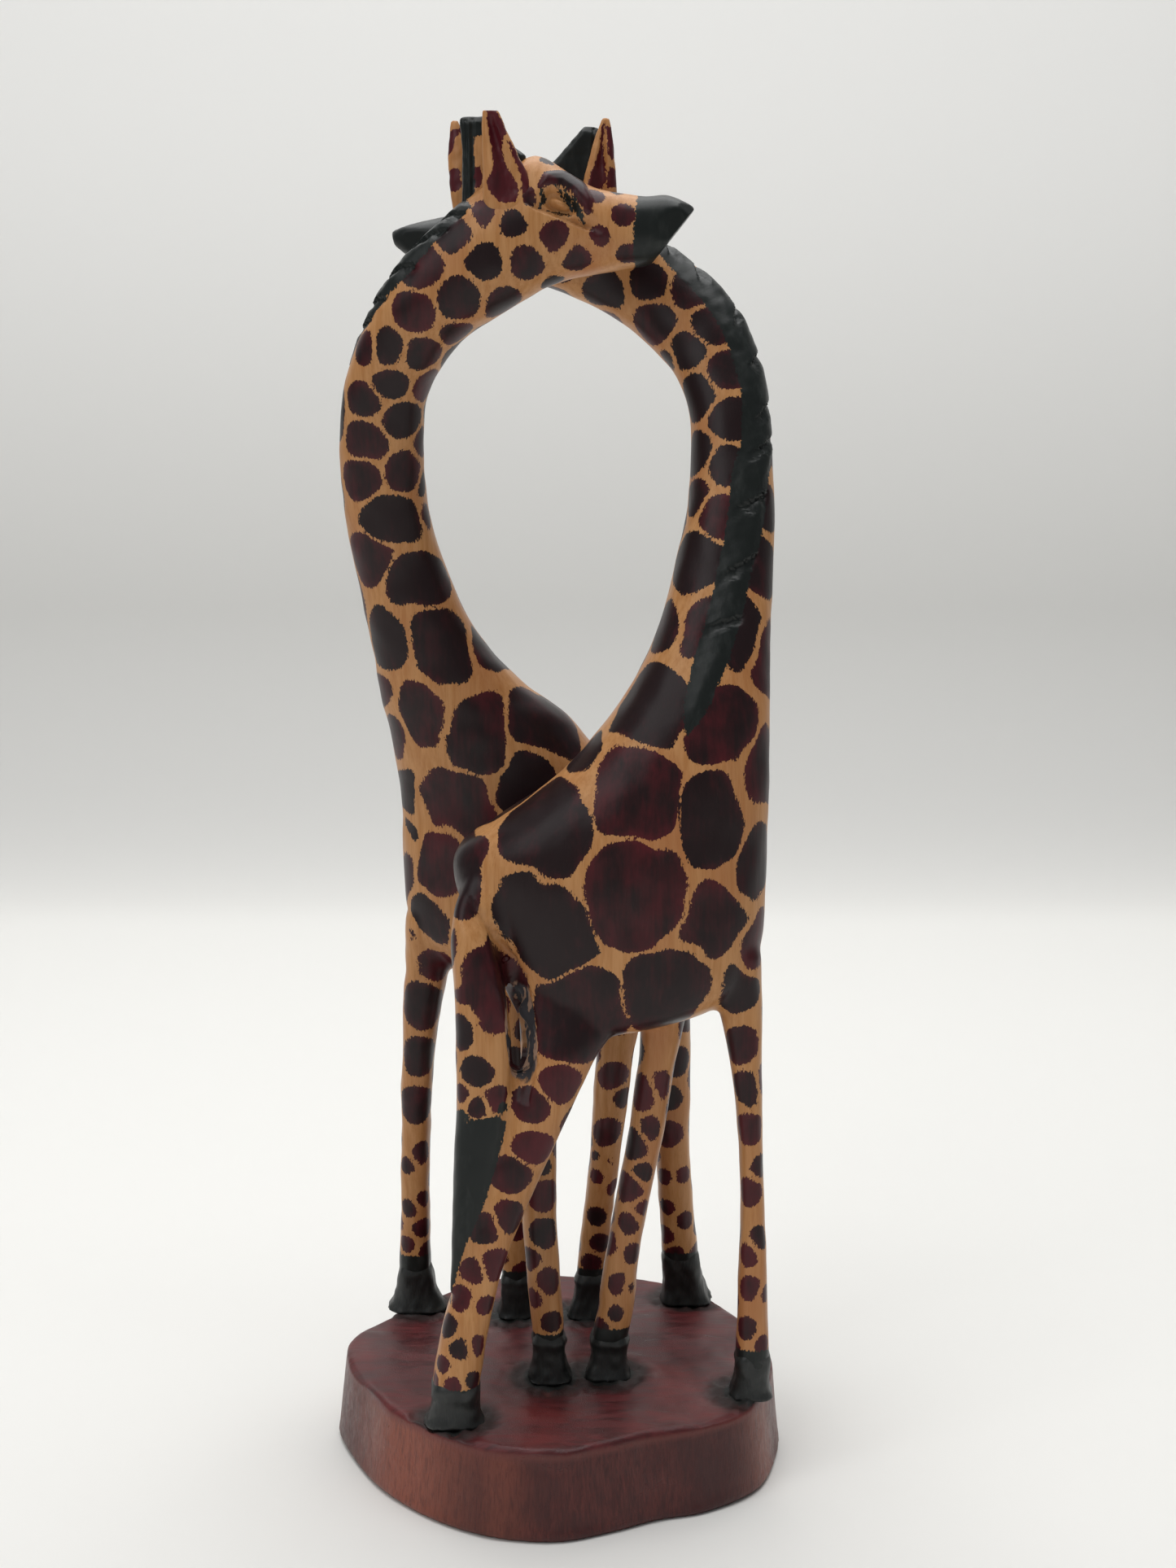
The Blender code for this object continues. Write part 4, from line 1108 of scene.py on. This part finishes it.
def make_ear(prefix, side, rows, facing, material):
    """A leaf-shaped ear, hollowed on its open face."""
    skin = upright_tube(rows, 40, exponent=OVAL)
    ear = merged_skin(f"carved_{prefix}_{side}_ear", [skin], EAR_VOXEL)
    mesh = ear.data
    relax(mesh, 2)
    strips = EAR_STRIPS[prefix] if side == "near" else []
    marks = hollow_ear(mesh, rows, facing, strips)
    carve_facets(mesh, 0.1, 2.5, 70)
    keep_fields(mesh, patch=marks, tone=0.75, paint=BARE, raw=BARE)
    finish_piece(ear, material, [f"{prefix}_{side}_ear"])


def make_horns(prefix, horns, material):
    """The block left between the ears: black, with upright grooves; the rear one has a bare strip."""
    horn = merged_skin(f"carved_{prefix}_horns", [horn_block(*horns)], EAR_VOXEL)
    mesh = horn.data
    relax(mesh, 1)
    points, normals = read_points(mesh), read_normals(mesh)
    corners = [x for x, _ in horns[0]]
    back = max(corners) if prefix == "front" else min(corners)
    inward = np.abs(points[:, 0] - back)
    grooves = sum(np.clip(1 - np.abs(inward - at) / 0.42, 0, 1) for at in (1.1, 2.5))
    face = smooth_step(np.abs(normals[:, 1]), 0.4, 0.8)
    write_points(mesh, points - normals * (HORN_GROOVE * grooves * face)[:, None])
    carve_facets(mesh, 0.12, 3, 80)
    strip = np.minimum(np.minimum(inward - 2.9, 6.8 - inward), 299.3 - points[:, 2])
    spot = 1.3 - np.hypot(inward - 3.4, (points[:, 2] - 290.8) / 1.7)
    keep_fields(mesh, patch=spot, tone=0.7, paint=-BARE if prefix == "front" else -strip, raw=BARE)
    finish_piece(horn, material, [f"{prefix}_horns"])


def leg_to_foot(rows, foot):
    """Carries a leg on down into its hoof, so that no end of it shows."""
    x, y, z, half_x, half_y = rows[-1]
    return [*rows, ((x + foot[0]) / 2, (y + foot[1]) / 2, (z + BASE_HEIGHT) / 2, half_x * 0.8,
                    half_y * 0.8)]


def carve_skin(prefix, animal):
    """The plain skin of one giraffe, with finer squares where the small cuts come."""
    tubes = [upright_tube(leg_to_foot(rows, animal["hooves"][side]), 96)
             for side, rows in animal["legs"].items()]
    tubes = [body_tube(animal["body"]), *tubes, upright_tube(animal["tail"], 70)]
    giraffe = merged_skin(f"{prefix}_giraffe", tubes, SKIN_VOXEL)
    mesh = giraffe.data
    relax(mesh, 2)
    soften_creases(mesh, 24)
    carve_facets(mesh, 0.14, 7, animal["seed"])
    points = read_points(mesh)
    place, turn, radius = spine_places(points, animal["body"])
    inside, _ = mane_field(animal["mane"], place, turn, radius)
    eye = head_frame(animal["body"], EYE_STATION, 0.45)[0]
    fine = (near_any(points, [eye]) < 8.5) | ((inside > -0.8) & (place > 8.5))
    if prefix == "front":
        x, y, z = points.T
        fine |= (y < -22) & (np.abs(z - BELLY_HEIGHT) < 20) & (np.abs(x + 8) < 6)
    refine(mesh, fine)
    return giraffe


def spread_patches(mesh, animal, place, field):
    """How far inside a patch each point is, and how red its patch is."""
    points, normals = read_points(mesh), read_normals(mesh)
    seeds = seeds_on_skin(mesh, animal["patches"])
    listed = len(seeds)
    sizes = hidden_sizes(points, place)
    eye = head_frame(animal["body"], EYE_STATION, 0.36)[0]
    blocked = (field > 0.5) | (near_any(points, [eye]) < 7)
    seeds = add_hidden_seeds(points, sizes, normals, seeds, blocked, animal["seed"] + 1)
    net = 1.15 - 0.35 * smooth_step(place, 9, 12)
    net = np.where(points[:, 2] < BELLY_HEIGHT, 0.7, net)
    wobble = np.interp(sizes, [2, 5, 9], [0.14, 0.36, 1.0])
    patch, nearest = patch_field(points, seeds, listed, net, wobble, animal["seed"] + 2)
    patch -= 0.4 * smooth_step(place, 17, 19.5)
    draw = np.random.default_rng(animal["seed"] + 3)
    tones = draw.uniform(0, 0.55, len(seeds))
    return patch, tones[nearest] + 0.25 * smooth_step(points[:, 2], 115, 95) - 0.06


def make_giraffe(prefix, animal, material):
    """One animal without its ears, horns and hooves: carved skin, patches and paint."""
    giraffe = carve_skin(prefix, animal)
    mesh = giraffe.data
    points = read_points(mesh)
    place, turn, radius = spine_places(points, animal["body"])
    field = paint_field(points, animal, place, turn, radius)
    patch, tone = spread_patches(mesh, animal, place, field)
    cut_mane(mesh, animal["mane"], animal["cuts"], animal["body"])
    brow, lashes_and_shade = carve_head(mesh, animal["body"])
    carve_flats(mesh, animal["flats"], smooth_step(place, 24, 25.5))
    raw, stain_and_shade, edge = carve_haunch(mesh) if prefix == "front" else (BARE, BARE, -BARE)
    # Patches, brow and the rump's stain, which is partly painted shade.
    stain_and_shade_field = np.maximum(np.maximum(patch, brow), stain_and_shade)
    # The black paint takes in the lash strokes, partly painted shade in the eye socket.
    keep_fields(mesh, tone=tone, paint=np.maximum(field, lashes_and_shade),
                patch=np.minimum(stain_and_shade_field, edge - 0.6), raw=raw)
    parts = ["torso", "neck", "head", "muzzle", "mane", "tail", "tail_tuft"]
    parts += [f"{side}_leg" for side in animal["legs"]]
    finish_piece(giraffe, material, [f"{prefix}_{part}" for part in parts])


ANIMALS = {
    "front": {"body": FRONT_BODY, "legs": FRONT_LEGS, "hooves": FRONT_HOOVES, "tail": FRONT_TAIL,
              "tuft_edge": FRONT_TUFT_EDGE, "tuft_from": 0, "ears": FRONT_EARS,
              "flats": FRONT_FLATS, "paint_tops": FRONT_PAINT_TOPS, "horns": FRONT_HORNS,
              "mane": FRONT_MANE, "cuts": FRONT_CUTS,
              "patches": FRONT_PATCHES + FRONT_LEG_PATCHES, "seed": 100},
    "rear": {"body": REAR_BODY, "legs": REAR_LEGS, "hooves": REAR_HOOVES, "tail": REAR_TAIL,
             "tuft_edge": REAR_TUFT_EDGE, "tuft_from": 4.6, "ears": REAR_EARS,
             "flats": REAR_FLATS, "paint_tops": REAR_PAINT_TOPS, "horns": REAR_HORNS,
             "mane": REAR_MANE, "cuts": REAR_CUTS,
             "patches": REAR_PATCHES + REAR_LEG_PATCHES, "seed": 200},
}


# ---------------------------------------------------------------- surroundings

def make_camera():
    lens = bpy.data.cameras.new("camera")
    lens.sensor_width = 36
    lens.lens = CAMERA_LENS
    lens.clip_start = 0.01
    camera = bpy.data.objects.new("camera", lens)
    camera.location = CAMERA_PLACE
    camera.rotation_euler = (math.radians(CAMERA_TILT), 0, 0)
    bpy.context.collection.objects.link(camera)
    bpy.context.scene.camera = camera


def make_light(name, size, power, location, aim):
    """A square soft light, turned towards the spot it lights."""
    lamp = bpy.data.lights.new(name, "AREA")
    lamp.shape = "SQUARE"
    lamp.size = size
    lamp.energy = power
    light = bpy.data.objects.new(name, lamp)
    light.location = location
    light.rotation_euler = (Vector(aim) - Vector(location)).to_track_quat("-Z", "Y").to_euler()
    bpy.context.collection.objects.link(light)


def make_sweep():
    """A white table top that curves up into a grey wall behind the statue; the wall is painted greyer
    low down as painted shade and lighter higher up as painted light.
    """
    profile = [(SWEEP_FRONT, 0), (BEND_FROM, 0)]
    for step in range(1, BEND_STEPS + 1):
        turn = math.radians(90 * step / BEND_STEPS)
        profile.append((BEND_FROM + BEND_RADIUS * math.sin(turn), BEND_RADIUS * (1 - math.cos(turn))))
    profile.append((BEND_FROM + BEND_RADIUS, SWEEP_HEIGHT))
    points = [(side * SWEEP_WIDTH / 2, y, z) for y, z in profile for side in (-1, 1)]
    faces = [(2 * i, 2 * i + 1, 2 * i + 3, 2 * i + 2) for i in range(len(profile) - 1)]
    mesh = bpy.data.meshes.new("sweep")
    mesh.from_pydata(points, [], faces)
    mesh.shade_smooth()
    sweep = bpy.data.objects.new("sweep", mesh)
    bpy.context.collection.objects.link(sweep)
    material, tree, shader = new_material("studio_sweep", 0.1)
    place = add_node(tree, "SeparateXYZ", {0: add_node(tree, "TexCoord").outputs["Object"]})
    back = step_between(tree, place.outputs[1], 0.53, 0.69)
    # The wall is painted darker low down as painted shade and lighter higher up as painted light.
    rise = step_between(tree, place.outputs[2], 0.03, 0.42)
    wall = mix_colour(tree, rise, BACKDROP_SHADED_LOW, BACKDROP_LIT_HIGH)
    colour = mix_colour(tree, back, FLOOR_WHITE, wall)
    tree.links.new(colour, shader.inputs["Base Color"])
    shader.inputs["Roughness"].default_value = 0.9
    mesh.materials.append(material)


def make_studio():
    scene = bpy.context.scene
    scene.view_settings.view_transform = "Standard"
    world = bpy.data.worlds.new("soft room")
    world.use_nodes = True
    scene.world = world
    sky = world.node_tree.nodes["Background"]
    sky.inputs["Color"].default_value = ROOM_LIGHT
    sky.inputs["Strength"].default_value = 0.22
    make_light("overhead", 1.2, 13.8, (0, 0.14, 1.2), (0, 0.05, 0))
    make_light("window", 1.0, 4.2, (-0.7, -0.9, 1.0), (0, 0, 0.2))


def main():
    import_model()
    make_camera()
    wood = painted_wood()
    black = black_wood()
    make_base(stained_wood())
    for prefix, animal in ANIMALS.items():
        make_giraffe(prefix, animal, wood)
        for side, rows in animal["legs"].items():
            make_hoof(prefix, side, rows, animal["hooves"][side], black)
        for side, (rows, facing) in animal["ears"].items():
            make_ear(prefix, side, rows, facing, wood)
        make_horns(prefix, animal["horns"], wood)
    make_sweep()
    make_studio()


main()
